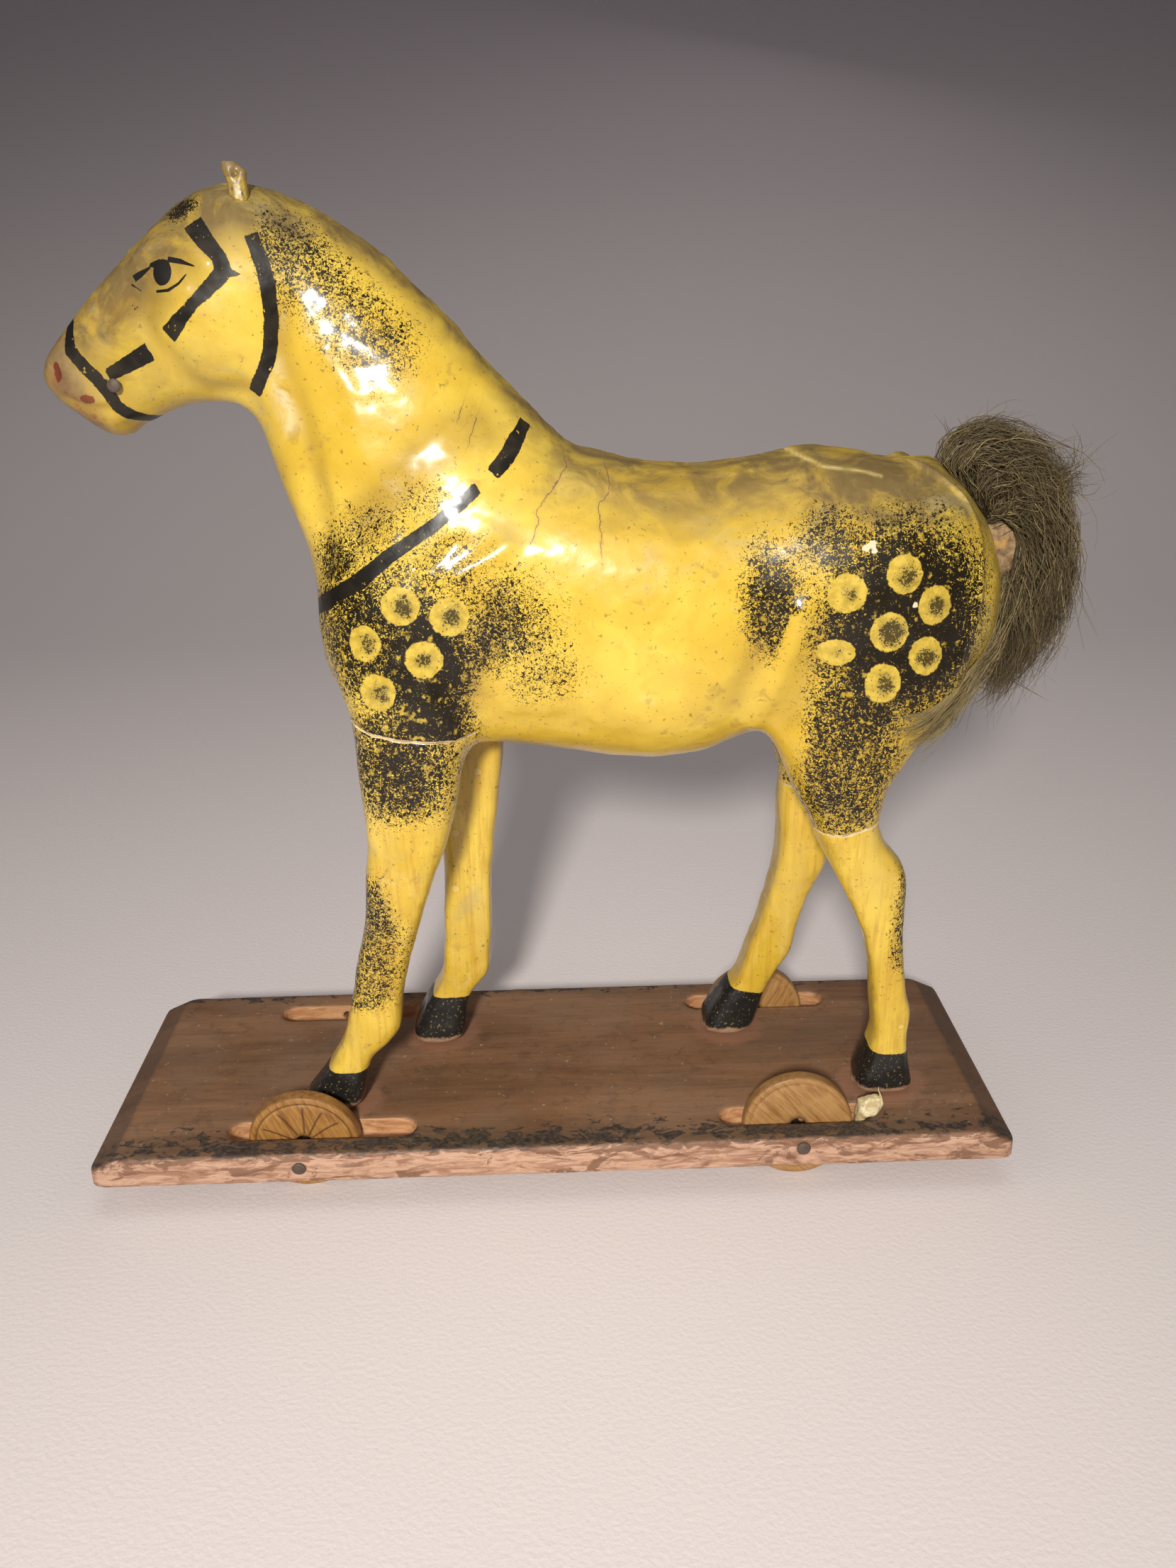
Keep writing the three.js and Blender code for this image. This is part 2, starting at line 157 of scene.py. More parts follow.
def set_attributes(mesh, **layers):
    """Values at the points that a material reads by name."""
    for name, values in layers.items():
        layer = mesh.attributes.new(name, "FLOAT", "POINT")
        layer.data.foreach_set("value", np.asarray(values, np.float32))


def step(x, low, high):
    """0 below low, 1 above high, smooth between; low may be above high."""
    t = np.clip((x - low) / (high - low), 0, 1)
    return t * t * (3 - 2 * t)


def value_noise(p, cell, seed):
    """Smooth noise from -1 to 1 over points p, from a hash of each cell's corners."""
    q = np.asarray(p, float) / cell + 1000.0
    i = np.floor(q).astype(np.int64)
    f = q - i
    f = f * f * (3 - 2 * f)
    total = np.zeros(len(q))
    for corner in itertools.product((0, 1), repeat=q.shape[1]):
        h = np.full(len(q), seed * 7919 + 17, np.int64)
        for k in range(q.shape[1]):
            h = (h * 31 + i[:, k] + corner[k]) * 2654435761 % 4294967296
            h ^= h >> 15
        weight = np.prod([f[:, k] if corner[k] else 1 - f[:, k] for k in range(q.shape[1])], 0)
        total += weight * (h / 2147483648.0 - 1)
    return total


def rough_noise(p, cell, seed):
    """Three octaves of value noise."""
    return (value_noise(p, cell, seed) + 0.5 * value_noise(p, cell / 2.1, seed + 1)
            + 0.25 * value_noise(p, cell / 4.3, seed + 2)) / 1.4


def neighbour_mean(values, edges):
    """At each vertex, the mean over its neighbours."""
    a, b = edges[:, 0], edges[:, 1]
    count = len(values)
    degree = np.maximum(np.bincount(edges.ravel(), minlength=count), 1)
    total = [np.bincount(a, values[b, k], count) + np.bincount(b, values[a, k], count)
             for k in range(3)]
    return np.stack(total, 1) / degree[:, None]


def relax(co, edges, passes, weight=1.0, steps=(0.5, -0.526)):
    """Smooths by steps in and out, so that nothing shrinks."""
    w = np.broadcast_to(np.asarray(weight, float), (len(co),))[:, None]
    for _ in range(passes):
        for s in steps:
            co = co + s * w * (neighbour_mean(co, edges) - co)
    return co


def with_modifier(mesh, kind, **settings):
    """The mesh with one modifier applied."""
    ob = add_object("source", mesh)
    modifier = ob.modifiers.new("modifier", kind)
    for key, value in settings.items():
        setattr(modifier, key, value)
    graph = bpy.context.evaluated_depsgraph_get()
    out = bpy.data.meshes.new_from_object(ob.evaluated_get(graph))
    bpy.data.objects.remove(ob)
    return out


def remesh(mesh, voxel):
    return with_modifier(mesh, "REMESH", mode="VOXEL", voxel_size=voxel * MM, use_smooth_shade=True)


def subdivide(mesh, kind="CATMULL_CLARK"):
    return with_modifier(mesh, "SUBSURF", levels=1, render_levels=1, subdivision_type=kind)


def joined_nodes(names, grow):
    """CAD nodes as one mesh, each grown a little so that neighbours overlap."""
    whole = bmesh.new()
    for name in names:
        part = bmesh.new()
        part.from_mesh(nodes[name].data)
        bmesh.ops.remove_doubles(part, verts=part.verts, dist=1e-6)
        part.normal_update()
        for vertex in part.verts:
            vertex.co += vertex.normal * (grow * MM)
        piece = bpy.data.meshes.new("piece")
        part.to_mesh(piece)
        whole.from_mesh(piece)
        part.free()
    mesh = bpy.data.meshes.new("joined")
    whole.to_mesh(mesh)
    whole.free()
    return mesh


def islands(count, edges):
    """A label for each vertex, the same over each connected island."""
    label = np.arange(count)
    while True:
        low = label.copy()
        np.minimum.at(low, edges[:, 0], label[edges[:, 1]])
        np.minimum.at(low, edges[:, 1], label[edges[:, 0]])
        low = low[low]
        if (low == label).all():
            return label
        label = low


def keep_outer_island(mesh):
    """Drops the inner walls of a hollow body: only the island of the highest point stays."""
    co = coords(mesh)
    label = islands(len(co), edge_array(mesh))
    keep = label == label[np.argmax(co[:, 2])]
    bm = bmesh.new()
    bm.from_mesh(mesh)
    bm.verts.ensure_lookup_table()
    bmesh.ops.delete(bm, geom=[bm.verts[i] for i in np.flatnonzero(~keep)], context="VERTS")
    bm.to_mesh(mesh)
    bm.free()
    return mesh


# ---------------------------------------------------------------- distances to painted lines

def to_line(p, line):
    """Distance from points p to a polyline."""
    best = np.full(len(p), 1e9)
    line = np.asarray(line, float)
    for a, b in zip(line[:-1], line[1:]):
        d = b - a
        t = np.clip((p - a) @ d / max(d @ d, 1e-12), 0, 1)
        best = np.minimum(best, np.linalg.norm(p - a - t[:, None] * d, axis=1))
    return best


def near_line(p, line, width):
    """1 on a polyline, falling off over about the width."""
    return np.exp(-(to_line(p, line) / width) ** 2)


def strap(p, line, widths):
    """Signed distance to a flat-ended band along a polyline, below 0 inside."""
    line = np.asarray(line, float)
    best = np.full(len(p), 1e9)
    last = len(line) - 2
    for i in range(last + 1):
        a, b = line[i], line[i + 1]
        d = b - a
        length = np.linalg.norm(d)
        t = (p - a) @ d / length**2
        clamped = np.clip(t, -9 if i == 0 else 0, 9 if i == last else 1)
        off = np.linalg.norm(p - a - clamped[:, None] * d, axis=1)
        width = widths[i] + (widths[i + 1] - widths[i]) * np.clip(t, 0, 1)
        side = off - width / 2
        if i == 0:
            side = np.maximum(side, -t * length)
        if i == last:
            side = np.maximum(side, (t - 1) * length)
        best = np.minimum(best, side)
    return best


def signed_line(p, line):
    """Distance to a polyline in the x-z plane, negative on one side, and large past its ends."""
    q, line = p[:, [0, 2]], np.asarray(line, float)[:, [0, 2]]
    best, out = np.full(len(p), 1e9), np.full(len(p), 50.0)
    for a, b in zip(line[:-1], line[1:]):
        d = b - a
        t = (q - a) @ d / (d @ d)
        rel = q - a - np.clip(t, 0, 1)[:, None] * d
        dist = np.linalg.norm(rel, axis=1)
        side = np.sign(d[0] * (q - a)[:, 1] - d[1] * (q - a)[:, 0])
        near = dist < best
        best = np.where(near, dist, best)
        out = np.where(near, side * dist, out)
    ends = np.minimum(np.linalg.norm(q - line[0], axis=1), np.linalg.norm(q - line[-1], axis=1))
    past = np.abs(out) >= ends - 1e-9
    return np.where(past, np.where(out == 0, 1, np.sign(out)) * (ends + 0.4), out)


# ---------------------------------------------------------------- material helpers

class Paint:
    """A material built from nodes on one Principled shader."""

    def __init__(self, name, **shader):
        self.material = bpy.data.materials.new(name)
        self.material.use_nodes = True
        self.tree = self.material.node_tree
        self.shader = self.tree.nodes["Principled BSDF"]
        for key, value in shader.items():
            self.shader.inputs[key.replace("_", " ")].default_value = value
        self.place = self.tree.nodes.new("ShaderNodeTexCoord").outputs["Object"]

    def plug(self, socket, value):
        if isinstance(value, bpy.types.NodeSocket):
            self.tree.links.new(value, socket)
            return
        if socket.type == "RGBA" and len(value) == 3:
            value = (*value, 1)
        socket.default_value = value

    def node(self, kind, inputs, **settings):
        made = self.tree.nodes.new("ShaderNode" + kind)
        for key, value in settings.items():
            setattr(made, key, value)
        for key, value in inputs.items():
            self.plug(made.inputs[key], value)
        return made

    def attr(self, name):
        return self.node("Attribute", {}, attribute_name=name).outputs["Fac"]

    def math(self, operation, *values, clamp=False):
        return self.node("Math", dict(enumerate(values)), operation=operation,
                         use_clamp=clamp).outputs[0]

    def times(self, *values):
        product = values[0]
        for value in values[1:]:
            product = self.math("MULTIPLY", product, value)
        return product

    def plus(self, a, b):
        return self.math("ADD", a, b)

    def most(self, *values):
        most = values[0]
        for value in values[1:]:
            most = self.math("MAXIMUM", most, value)
        return most

    def rest(self, value):
        """What is left of 1."""
        return self.math("SUBTRACT", 1.0, value)

    def centred(self, noise, reach):
        """A noise from 0 to 1 spread out from -reach to reach."""
        return self.math("MULTIPLY_ADD", noise, 2 * reach, -reach)

    def ramp(self, value, low, high, to_low=0.0, to_high=1.0, kind="SMOOTHSTEP"):
        return self.node("MapRange", {"Value": value, "From Min": low, "From Max": high,
                                      "To Min": to_low, "To Max": to_high},
                         interpolation_type=kind).outputs["Result"]

    def mix(self, factor, a, b):
        made = self.node("Mix", {}, data_type="RGBA")
        for socket, value in (("Factor", factor), (6, a), (7, b)):
            self.plug(made.inputs[socket], value)
        return made.outputs[2]

    def over(self, colour, *coats):
        """The colour under coats of (mask, strength, paint), one on top of another."""
        for mask, strength, paint in coats:
            colour = self.mix(self.times(mask, strength), colour, paint)
        return colour

    def scaled(self, x=1, y=1, z=1):
        return self.node("Mapping", {"Vector": self.place, "Scale": (x, y, z)}).outputs[0]

    def moved(self, *by):
        return self.node("VectorMath", {0: self.place, 1: by}, operation="ADD").outputs[0]

    def noise(self, scale, detail=2.0, rough=0.5, warp=0.0, at=None):
        return self.node("TexNoise", {"Vector": at or self.place, "Scale": scale, "Detail": detail,
                                      "Roughness": rough, "Distortion": warp}).outputs["Fac"]

    def height(self):
        return self.node("SeparateXYZ", {"Vector": self.place}).outputs["Z"]

    def flecks(self, density, size, shift):
        """Spattered paint: curved flecks at a low density, a black sheet with pinholes at a high one."""
        shape = self.noise(size, 3.0, 0.62, 1.1, at=self.moved(*shift))
        needed = self.ramp(density, 0.0, 1.0, 0.735, 0.385, kind="LINEAR")
        return self.ramp(self.math("SUBTRACT", shape, needed), 0.0, 0.022)

    def bump(self, *layers):
        """Bumps from (height socket, strength, distance in mm), stacked."""
        normal = None
        for height, strength, distance in layers:
            made = self.node("Bump", {"Height": height, "Strength": strength,
                                      "Distance": distance * MM})
            if normal is not None:
                self.plug(made.inputs["Normal"], normal)
            normal = made.outputs[0]
        self.plug(self.shader.inputs["Normal"], normal)

    def out(self, **sockets):
        for key, value in sockets.items():
            self.plug(self.shader.inputs[key.replace("_", " ")], value)
        return self.material


# ---------------------------------------------------------------- horse shape

FRONT_JOINT, HIND_JOINT = 112, 87  # heights at which the legs' tops are cut off
LEGS_SPLIT = 5  # x between the front and the hind legs
SHARP = math.radians(55)  # edges that turn by more than this stay sharp
GROW = 0.22  # closes the 0.3 mm gaps between the CAD solids before they are remeshed
HORSE_VOXEL = 1.3
# Each leg: the joint's height, the box that holds it below the joint, how square it is cut,
# and where its hoof's black begins, with the slant of that line.
LEGS = {
    "leg_front_left": dict(joint=FRONT_JOINT, x=(-90, -20.1), y=(-40, -4.25), square=3.4,
                           coronet=26.6, slant=0),
    "leg_front_right": dict(joint=FRONT_JOINT, x=(-90, -14.8), y=(4.25, 40), square=6.0,
                            coronet=29.4, slant=0),
    "leg_hind_left": dict(joint=HIND_JOINT, x=(20, 110), y=(-40, -1), square=4.0,
                          coronet=27.2, slant=0),
    "leg_hind_right": dict(joint=HIND_JOINT, x=(20, 110), y=(1, 40), square=5.0,
                           coronet=29.0, slant=0.16),
}
SLANT_FROM = 42  # x at which a slanting coronet has its own height
CAD_FULLNESS = 2.6  # how square the CAD legs' sections are
ON_CUT = 2e-3  # a point this near to a cut lies on it
CUT_GAP, SEAM_GAP = 0.12, 0.04  # how far cut faces stand off the joints and the seam
RIM_ROUNDING = 0.28

# Strokes of a modelling tool on the left side, mirrored to the right:
# line of points (x, distance from the middle, z), radius, height along the surface normal.
HEAD_STROKES = [
    ([(-81.1, 8.6, 206.6), (-78, 9.3, 209.3), (-72, 11.8, 209.7), (-68.7, 13.2, 207.6),
      (-66.6, 13.8, 205.5)], 2.4, 0.8),  # orbit
    ([(-75.6, 12.6, 204.2)], 5.0, -0.8),  # socket
    ([(-75.6, 12.4, 204.0)], 3.0, 1.0),  # eyeball
    ([(-78.5, 11.6, 200.6), (-75, 13.2, 199.9), (-71.5, 13.8, 201)], 1.5, 0.4),  # lower lid
    ([(-78.7, 12.5, 199.2), (-79.7, 12.3, 194.6), (-77.6, 12.6, 190.8), (-75.4, 12.1, 187.9),
      (-73, 10.3, 184.2), (-69.7, 8.7, 182), (-62.7, 9.6, 182)], 2.6, -0.8),  # jowl edge
    ([(-67, 13.8, 193)], 10.0, 0.9),  # jowl
    ([(-90.2, 8.5, 196.2), (-86.2, 9.9, 197.7), (-83.5, 10.7, 198.7)], 3.2, -0.9),  # face hollow
    ([(-94, 5, 196.5), (-86, 6, 204)], 3.0, 0.35),  # nose bone
    ([(-99.0, 8.1, 186.8), (-97.8, 8.4, 184.6)], 2.2, 0.5),  # nostril wing
    ([(-100.6, 7.8, 185.6)], 1.3, -0.8),  # nostril
    ([(-100.4, 6, 180.9), (-99.2, 7.5, 180.6), (-96.4, 8.2, 179.3), (-92.5, 8.2, 178.6),
      (-90.3, 8, 178.9)], 0.9, -0.6),  # mouth
    ([(-97, 7.6, 182.3), (-93.5, 8.4, 181)], 1.6, 0.3),  # upper lip
    ([(-95, 7, 177), (-91.5, 7, 175.8)], 2.0, 0.35),  # lower lip
    ([(-87.5, 5, 174.9), (-86, 0, 174.2)], 2.0, -0.5),  # chin groove
    ([(-53.5, 12.5, 197), (-54.6, 12.2, 188), (-52.2, 12.3, 179.5), (-50.4, 12.4, 171),
      (-49, 12.5, 161), (-48.6, 12.2, 154), (-48.5, 11.8, 147.5)], 2.6, -1.1),  # neck groove
    ([(-58, 9, 184), (-55.5, 9, 176), (-54.5, 8.5, 166), (-54, 8, 155)], 3.0, 0.5),  # windpipe
    ([(-61, 9.5, 213.5)], 3.2, 0.8),  # foot of the ear
    ([(-46, 13.3, 189), (-41.5, 14.5, 180), (-40.5, 15.6, 171), (-37, 17, 163)], 2.6, 0.6),  # neck muscle
]
BODY_STROKES = [
    ([(-16, 13, 175.5), (-21.8, 14.9, 173.7), (-28.7, 16.5, 169), (-33.6, 16.9, 163),
      (-41, 16, 156.7)], 6.0, -1.3),  # hollow at the foot of the neck
    ([(-38, 19.5, 138)], 14.0, 0.9),  # point of the shoulder
    ([(-43, 17.8, 147.4), (-39, 17.9, 150.6), (-35.2, 17.7, 154.2)], 2.5, 0.55),  # three shoulder folds
    ([(-27, 21.7, 146.3), (-22.3, 20.4, 151.9)], 2.5, 0.5),
    ([(-21.5, 22, 145.7), (-16.7, 21.7, 148.5), (-11.9, 20.9, 151.6)], 2.5, 0.6),
    ([(-14, 21, 140), (-17, 22, 131), (-19.5, 21.5, 124), (-19.5, 20.5, 118)],
     5.0, -1.0),  # hollow behind the shoulder
    ([(-27, 22.5, 117)], 6.0, 0.5),  # elbow
    ([(40.6, 16, 112), (43.5, 20.6, 119.5), (45.5, 22.7, 126), (47.5, 23.7, 133),
      (48.5, 23.9, 137)], 3.0, 1.1),  # fold of the flank
    ([(35, 20, 118), (38.5, 22.3, 126), (41.5, 23.4, 134)], 4.0, -0.8),  # hollow before it
    ([(47, 20.5, 113), (50, 22.5, 122), (52.5, 23.7, 130)], 4.0, -0.7),  # hollow behind it
    ([(54, 0, 166.8)], 8.0, 0.7),  # croup
    ([(69, 0, 165)], 4.5, -0.8),  # dip before the dock
    ([(79, 0, 164.5)], 4.0, 0.8),  # dock
]
STROKES = [(line * 2 if len(line) == 1 else line, radius, height)
           for line, radius, height in HEAD_STROKES + BODY_STROKES]
RUMP_LIP = [(70.8, 2.3, 164.9), (75.3, 7, 163.6), (79.5, 11.2, 161), (83.6, 12.2, 158),
            (86, 14.2, 154.9), (87.2, 16, 151.5), (87.4, 18.3, 146.9), (87, 19.8, 140.8),
            (85.2, 20.6, 131.8), (82, 21.8, 124)]


def mirrored(co):
    return np.stack([co[:, 0], np.abs(co[:, 1]), co[:, 2]], 1)


def press(co, n, line, radius, height):
    """One stroke of the tool, with its mirror image."""
    m = mirrored(co)
    reach = 3 * radius
    near = np.flatnonzero(((m > np.min(line, 0) - reach) & (m < np.max(line, 0) + reach)).all(1))
    co[near] += n[near] * (height * near_line(m[near], line, radius))[:, None]


def in_leg_box(co, leg, slack=0):
    """Whether points lie in a leg's box as seen from above, widened by the slack."""
    return ((co[:, 0] > leg["x"][0] - slack) & (co[:, 0] < leg["x"][1] + slack)
            & (co[:, 1] > leg["y"][0] - slack) & (co[:, 1] < leg["y"][1] + slack))


def square_legs(co):
    """Whittles the legs: pushes each one's oval section out towards a box with soft corners."""
    for leg in LEGS.values():
        at = np.flatnonzero(in_leg_box(co, leg) & (co[:, 2] < leg["joint"] - 4))
        z = co[at, 2]
        levels, box = [], []
        for level in np.arange(14.0, leg["joint"], 1.5):
            near = co[at[np.abs(z - level) < 1.6]]
            if len(near) > 5:
                levels.append(level)
                box.append([*near.min(0)[:2], *near.max(0)[:2]])
        box = np.array(box)
        x0, y0, x1, y1 = (np.interp(z, levels, box[:, k]) for k in range(4))
        u = (co[at, 0] - (x0 + x1) / 2) / ((x1 - x0) / 2)
        v = (co[at, 1] - (y0 + y1) / 2) / ((y1 - y0) / 2)
        now, goal = [((np.abs(u) + 1e-6) ** power + (np.abs(v) + 1e-6) ** power) ** (1 / power)
                     for power in (CAD_FULLNESS, leg["square"])]
        fade = step(z, leg["joint"] - 4, leg["joint"] - 22) * step(z, 15.8, 19)
        s = 1 + (now / goal - 1) * fade
        co[at, 0] = (x0 + x1) / 2 + u * s * (x1 - x0) / 2
        co[at, 1] = (y0 + y1) / 2 + v * s * (y1 - y0) / 2


def smooth_horse():
    """The whole horse as one smooth closed surface made from its CAD solids."""
    raw = joined_nodes(["body_shell_left", "body_shell_right", *LEGS], GROW)
    mesh = keep_outer_island(remesh(raw, HORSE_VOXEL))
    co, edges = coords(mesh), edge_array(mesh)
    body = step(co[:, 2], HIND_JOINT - 3, FRONT_JOINT)
    co = relax(co, edges, 150, 0.3 + 0.7 * body, (0.6, -0.61))
    set_coords(mesh, co)
    co -= normals(mesh) * GROW
    trunk = step(co[:, 2], HIND_JOINT - 3, HIND_JOINT + 9) * step(co[:, 0], -52, -44)
    for _ in range(45):  # fills the creases where the limbs and the neck meet the trunk
        set_coords(mesh, co)
        n = normals(mesh)
        out = ((neighbour_mean(co, edges) - co) * n).sum(1)
        push(co, n, np.maximum(out, 0) * 0.9 * trunk)
    square_legs(co)
    set_coords(mesh, relax(co, edges, 6, 1.0, (0.5, -0.5)))
    return subdivide(mesh)


def modelled_horse():
    """The smooth horse with its features pressed in, the lip of its seam and an uneven skin."""
    mesh = smooth_horse()
    co, n = coords(mesh), normals(mesh)
    for line, radius, height in STROKES:
        press(co, n, line, radius, height)
    set_coords(mesh, co)
    n = normals(mesh)
    press(co, n, RUMP_LIP, 0.95, 1.0)
    # The moulded halves meet in a ragged lip along the crest, back and rump.
    top = step(n[:, 2], 0.2, 0.7) + step(n[:, 0], 0.5, 0.9) * step(co[:, 2], 118, 126)
    ragged = 0.55 + 0.55 * rough_noise(co[:, [0, 2]], 7.0, 5)
    lip = np.exp(-(co[:, 1] / 1.3) ** 2) * np.clip(top, 0, 1) * step(co[:, 0], -95, -84)
    push(co, n, lip * ragged * 0.75)
    # A paper strip over the seam of the back leaves an uneven edge along its near side.
    edge = 7.5 + 2.0 * rough_noise(co[:, [0]], 16.0, 9)
    strip = step(np.abs(co[:, 1]), edge + 0.8, edge - 0.8) * step(n[:, 2], 0.5, 0.8)
    strip *= step(co[:, 0], 8, 22) * step(co[:, 2], 150, 156)
    push(co, n, strip * 0.3)
    push(co, n, 0.24 * rough_noise(co, 10.0, 3) + 0.07 * rough_noise(co, 3.0, 4))
    set_coords(mesh, co)
    return mesh


def joint_wave(co):
    """How far the leg joints wander up and down from a flat cut."""
    front = np.interp(co[:, 0], [-47, -41.5, -35.7, -29.3, -24], [-2.4, -0.4, 0.4, 1.3, 1.7])
    hind = np.interp(co[:, 0], [56, 58.8, 63, 67.2, 72], [1.5, 1.3, 0.6, -0.3, -0.5])
    front = front + 0.3 * rough_noise(co[:, :2], 3.0, 21)
    hind = hind + 0.35 * rough_noise(co[:, :2], 3.0, 22)
    near_front = np.exp(-((co[:, 2] - FRONT_JOINT) / 5) ** 2) * (co[:, 0] < LEGS_SPLIT)
    near_hind = np.exp(-((co[:, 2] - HIND_JOINT) / 5) ** 2) * (co[:, 0] >= LEGS_SPLIT)
    return front * near_front + hind * near_hind


def add_wave(mesh, sign):
    co = coords(mesh)
    co[:, 2] += sign * joint_wave(co)
    set_coords(mesh, co)


def box_object(low, high):
    bm = bmesh.new()
    low, high = Vector(low) * MM, Vector(high) * MM
    place = Matrix.Translation((low + high) / 2) @ Matrix.Diagonal((*(high - low), 1))
    bmesh.ops.create_cube(bm, size=1, matrix=place)
    mesh = bpy.data.meshes.new("box")
    bm.to_mesh(mesh)
    bm.free()
    return add_object("cutter", mesh)


def boolean(mesh, boxes, operation):
    """A copy of the mesh with each box in turn taken off it, or kept to it."""
    mesh = mesh.copy()
    for low, high in boxes:
        box = box_object(low, high)
        mesh = with_modifier(mesh, "BOOLEAN", object=box, operation=operation, solver="MANIFOLD")
        bpy.data.objects.remove(box)
    return mesh


def soften_cut(mesh, height, gap):
    """Rounds the rim left by a flat cut at a height, and draws it off the cut by the gap."""
    co = coords(mesh)
    rim = np.flatnonzero(np.abs(co[:, 2] - height) < ON_CUT)
    inward = co[rim].mean(0) - co[rim]
    inward[:, 2] = 0
    inward /= np.maximum(np.linalg.norm(inward, axis=1), 1e-6)[:, None]
    co[rim] += inward * RIM_ROUNDING
    co[rim, 2] += gap
    set_coords(mesh, co)


def part_at_seam(mesh, side):
    """Draws a half shell's cut face off the seam."""
    co = coords(mesh)
    co[np.abs(co[:, 1]) < ON_CUT, 1] += side * SEAM_GAP
    set_coords(mesh, co)


def horse_pieces():
    """The surface cut at its real joints: two moulded halves and four legs."""
    whole = modelled_horse()
    add_wave(whole, 1)
    boxes = {name: ((leg["x"][0], leg["y"][0], 5), (leg["x"][1], leg["y"][1], leg["joint"]))
             for name, leg in LEGS.items()}
    body = boolean(whole, list(boxes.values()), "DIFFERENCE")
    made = {}
    for name, side, y in (("body_left", -1, (-80, 0)), ("body_right", 1, (0, 80))):
        half = boolean(body, [((-200, y[0], 0), (200, y[1], 300))], "INTERSECT")
        soften_cut(half, FRONT_JOINT, CUT_GAP)
        soften_cut(half, HIND_JOINT, CUT_GAP)
        part_at_seam(half, side)
        made[name] = half
    for name, box in boxes.items():
        made[name] = boolean(whole, [box], "INTERSECT")
        soften_cut(made[name], LEGS[name]["joint"], -CUT_GAP)
    for mesh in made.values():
        add_wave(mesh, -1)
        mesh.set_sharp_from_angle(angle=SHARP)
    return made


# ---------------------------------------------------------------- horse paint

STRAPS = [
    ([(-97.4, 0, 195.6), (-97.1, 5, 194.2), (-96.7, 8, 189.9), (-94.1, 9.2, 186.7),
      (-92, 9.5, 184.5), (-90.2, 9.2, 181.8), (-89.2, 8.3, 179.1), (-87.1, 6.9, 177.2),
      (-84.1, 3.5, 176.1), (-83.4, 0, 175.8)], [2.3, 2.4, 2.6, 2.7, 2.6, 2.6, 2.6, 2.6, 2.4, 2.4]),
    ([(-89.7, 9.7, 185.1), (-80.2, 11.9, 189.6)], [2.4, 3.5]),
    ([(-75.8, 13.1, 192.7), (-63.7, 13.9, 203.9)], [3.5, 3.3]),
    ([(-69.2, 11.1, 212.7), (-66.6, 13, 209.1), (-64.3, 13.6, 206.3), (-63.6, 13.8, 203.2)],
     [3.9, 3.5, 3.1, 3.2]),
    ([(-64.4, 13.8, 204.3), (-60.4, 13.5, 203.2)], [2.6, 0.3]),
    ([(-58.3, 11.5, 210.4), (-56.5, 12.5, 205.3), (-55.8, 12.8, 200.7), (-55.7, 12.7, 195.8),
      (-56.3, 12.5, 191.1), (-57.4, 12, 187.6), (-59.8, 10.7, 183.3), (-61.4, 9.5, 181.1)],
     [2.7, 2.9, 3.0, 2.9, 2.8, 2.8, 2.9, 2.8]),
    ([(-7.2, 7.5, 174.6), (-9.2, 11.5, 171.4), (-11.1, 13.9, 168.3), (-14, 15.7, 165.3)],
     [2.4, 3.2, 3.3, 3.0]),
    ([(-17.1, 17.1, 162.8), (-21.3, 18, 159.3), (-26.2, 18.6, 155.6), (-30, 19, 153.2),
      (-35.4, 19.4, 149.8), (-41.5, 19.4, 144.8), (-48.5, 15.5, 140), (-51.5, 10, 137.4),
      (-52.8, 0, 136.2)], [2.4, 2.6, 2.7, 2.7, 3.1, 3.8, 4.2, 4.2, 4.2]),
]
# Painted rings: centre, radius along x, radius along z, how dark its middle is.
RINGS = [
    ((-33.6, 22.1, 140.2), 4.1, 4.1, 1.0), ((-23.8, 22.8, 137.9), 4.1, 4.1, 1.0),
    ((-41.4, 21.4, 132.3), 3.6, 3.9, 0.9), ((-29.5, 22.8, 129.0), 4.0, 4.1, 0.8),
    ((-39.4, 23.3, 122.2), 3.9, 4.1, 0.9), ((68.9, 24.2, 144.9), 3.8, 4.1, 1.0),
    ((75.6, 23.9, 138.2), 3.6, 4.2, 1.0), ((66.4, 24.7, 133.0), 4.0, 4.3, 1.3),
    ((74.5, 24.0, 127.6), 3.7, 4.2, 1.0), ((65.7, 24.9, 122.1), 3.8, 4.4, 1.1),
    ((57.2, 24.6, 141.3), 4.1, 4.1, 0.5), ((55.9, 23.5, 128.7), 4.1, 2.9, 0.0),
]
CRACKS = [
    [(0.4, 7.5, 167.7), (0.9, 10.5, 165.7), (-1.5, 14.4, 162.9), (-5.4, 18.4, 157.9),
     (-5, 19.1, 156.7), (-6, 20.5, 153.3), (-7, 21, 151.7)],
    [(9, 7.5, 165.5), (9.6, 13.1, 162.5), (9, 15.9, 160.1), (7.4, 16.8, 159.5),
     (7.1, 19.8, 155), (7.6, 21, 152.2), (7.5, 21.9, 149.8)],
    [(-19.8, 13.2, 177.9), (-20.7, 14.2, 175.6)],
    [(-17, 12.9, 175.8), (-18.8, 15, 171.2)],
]
PUPIL = np.array((-75.6, 204.0))
EYE_AREA = np.array((-75.5, 12.6, 203.6))
EYE_TILT = math.radians(-14)
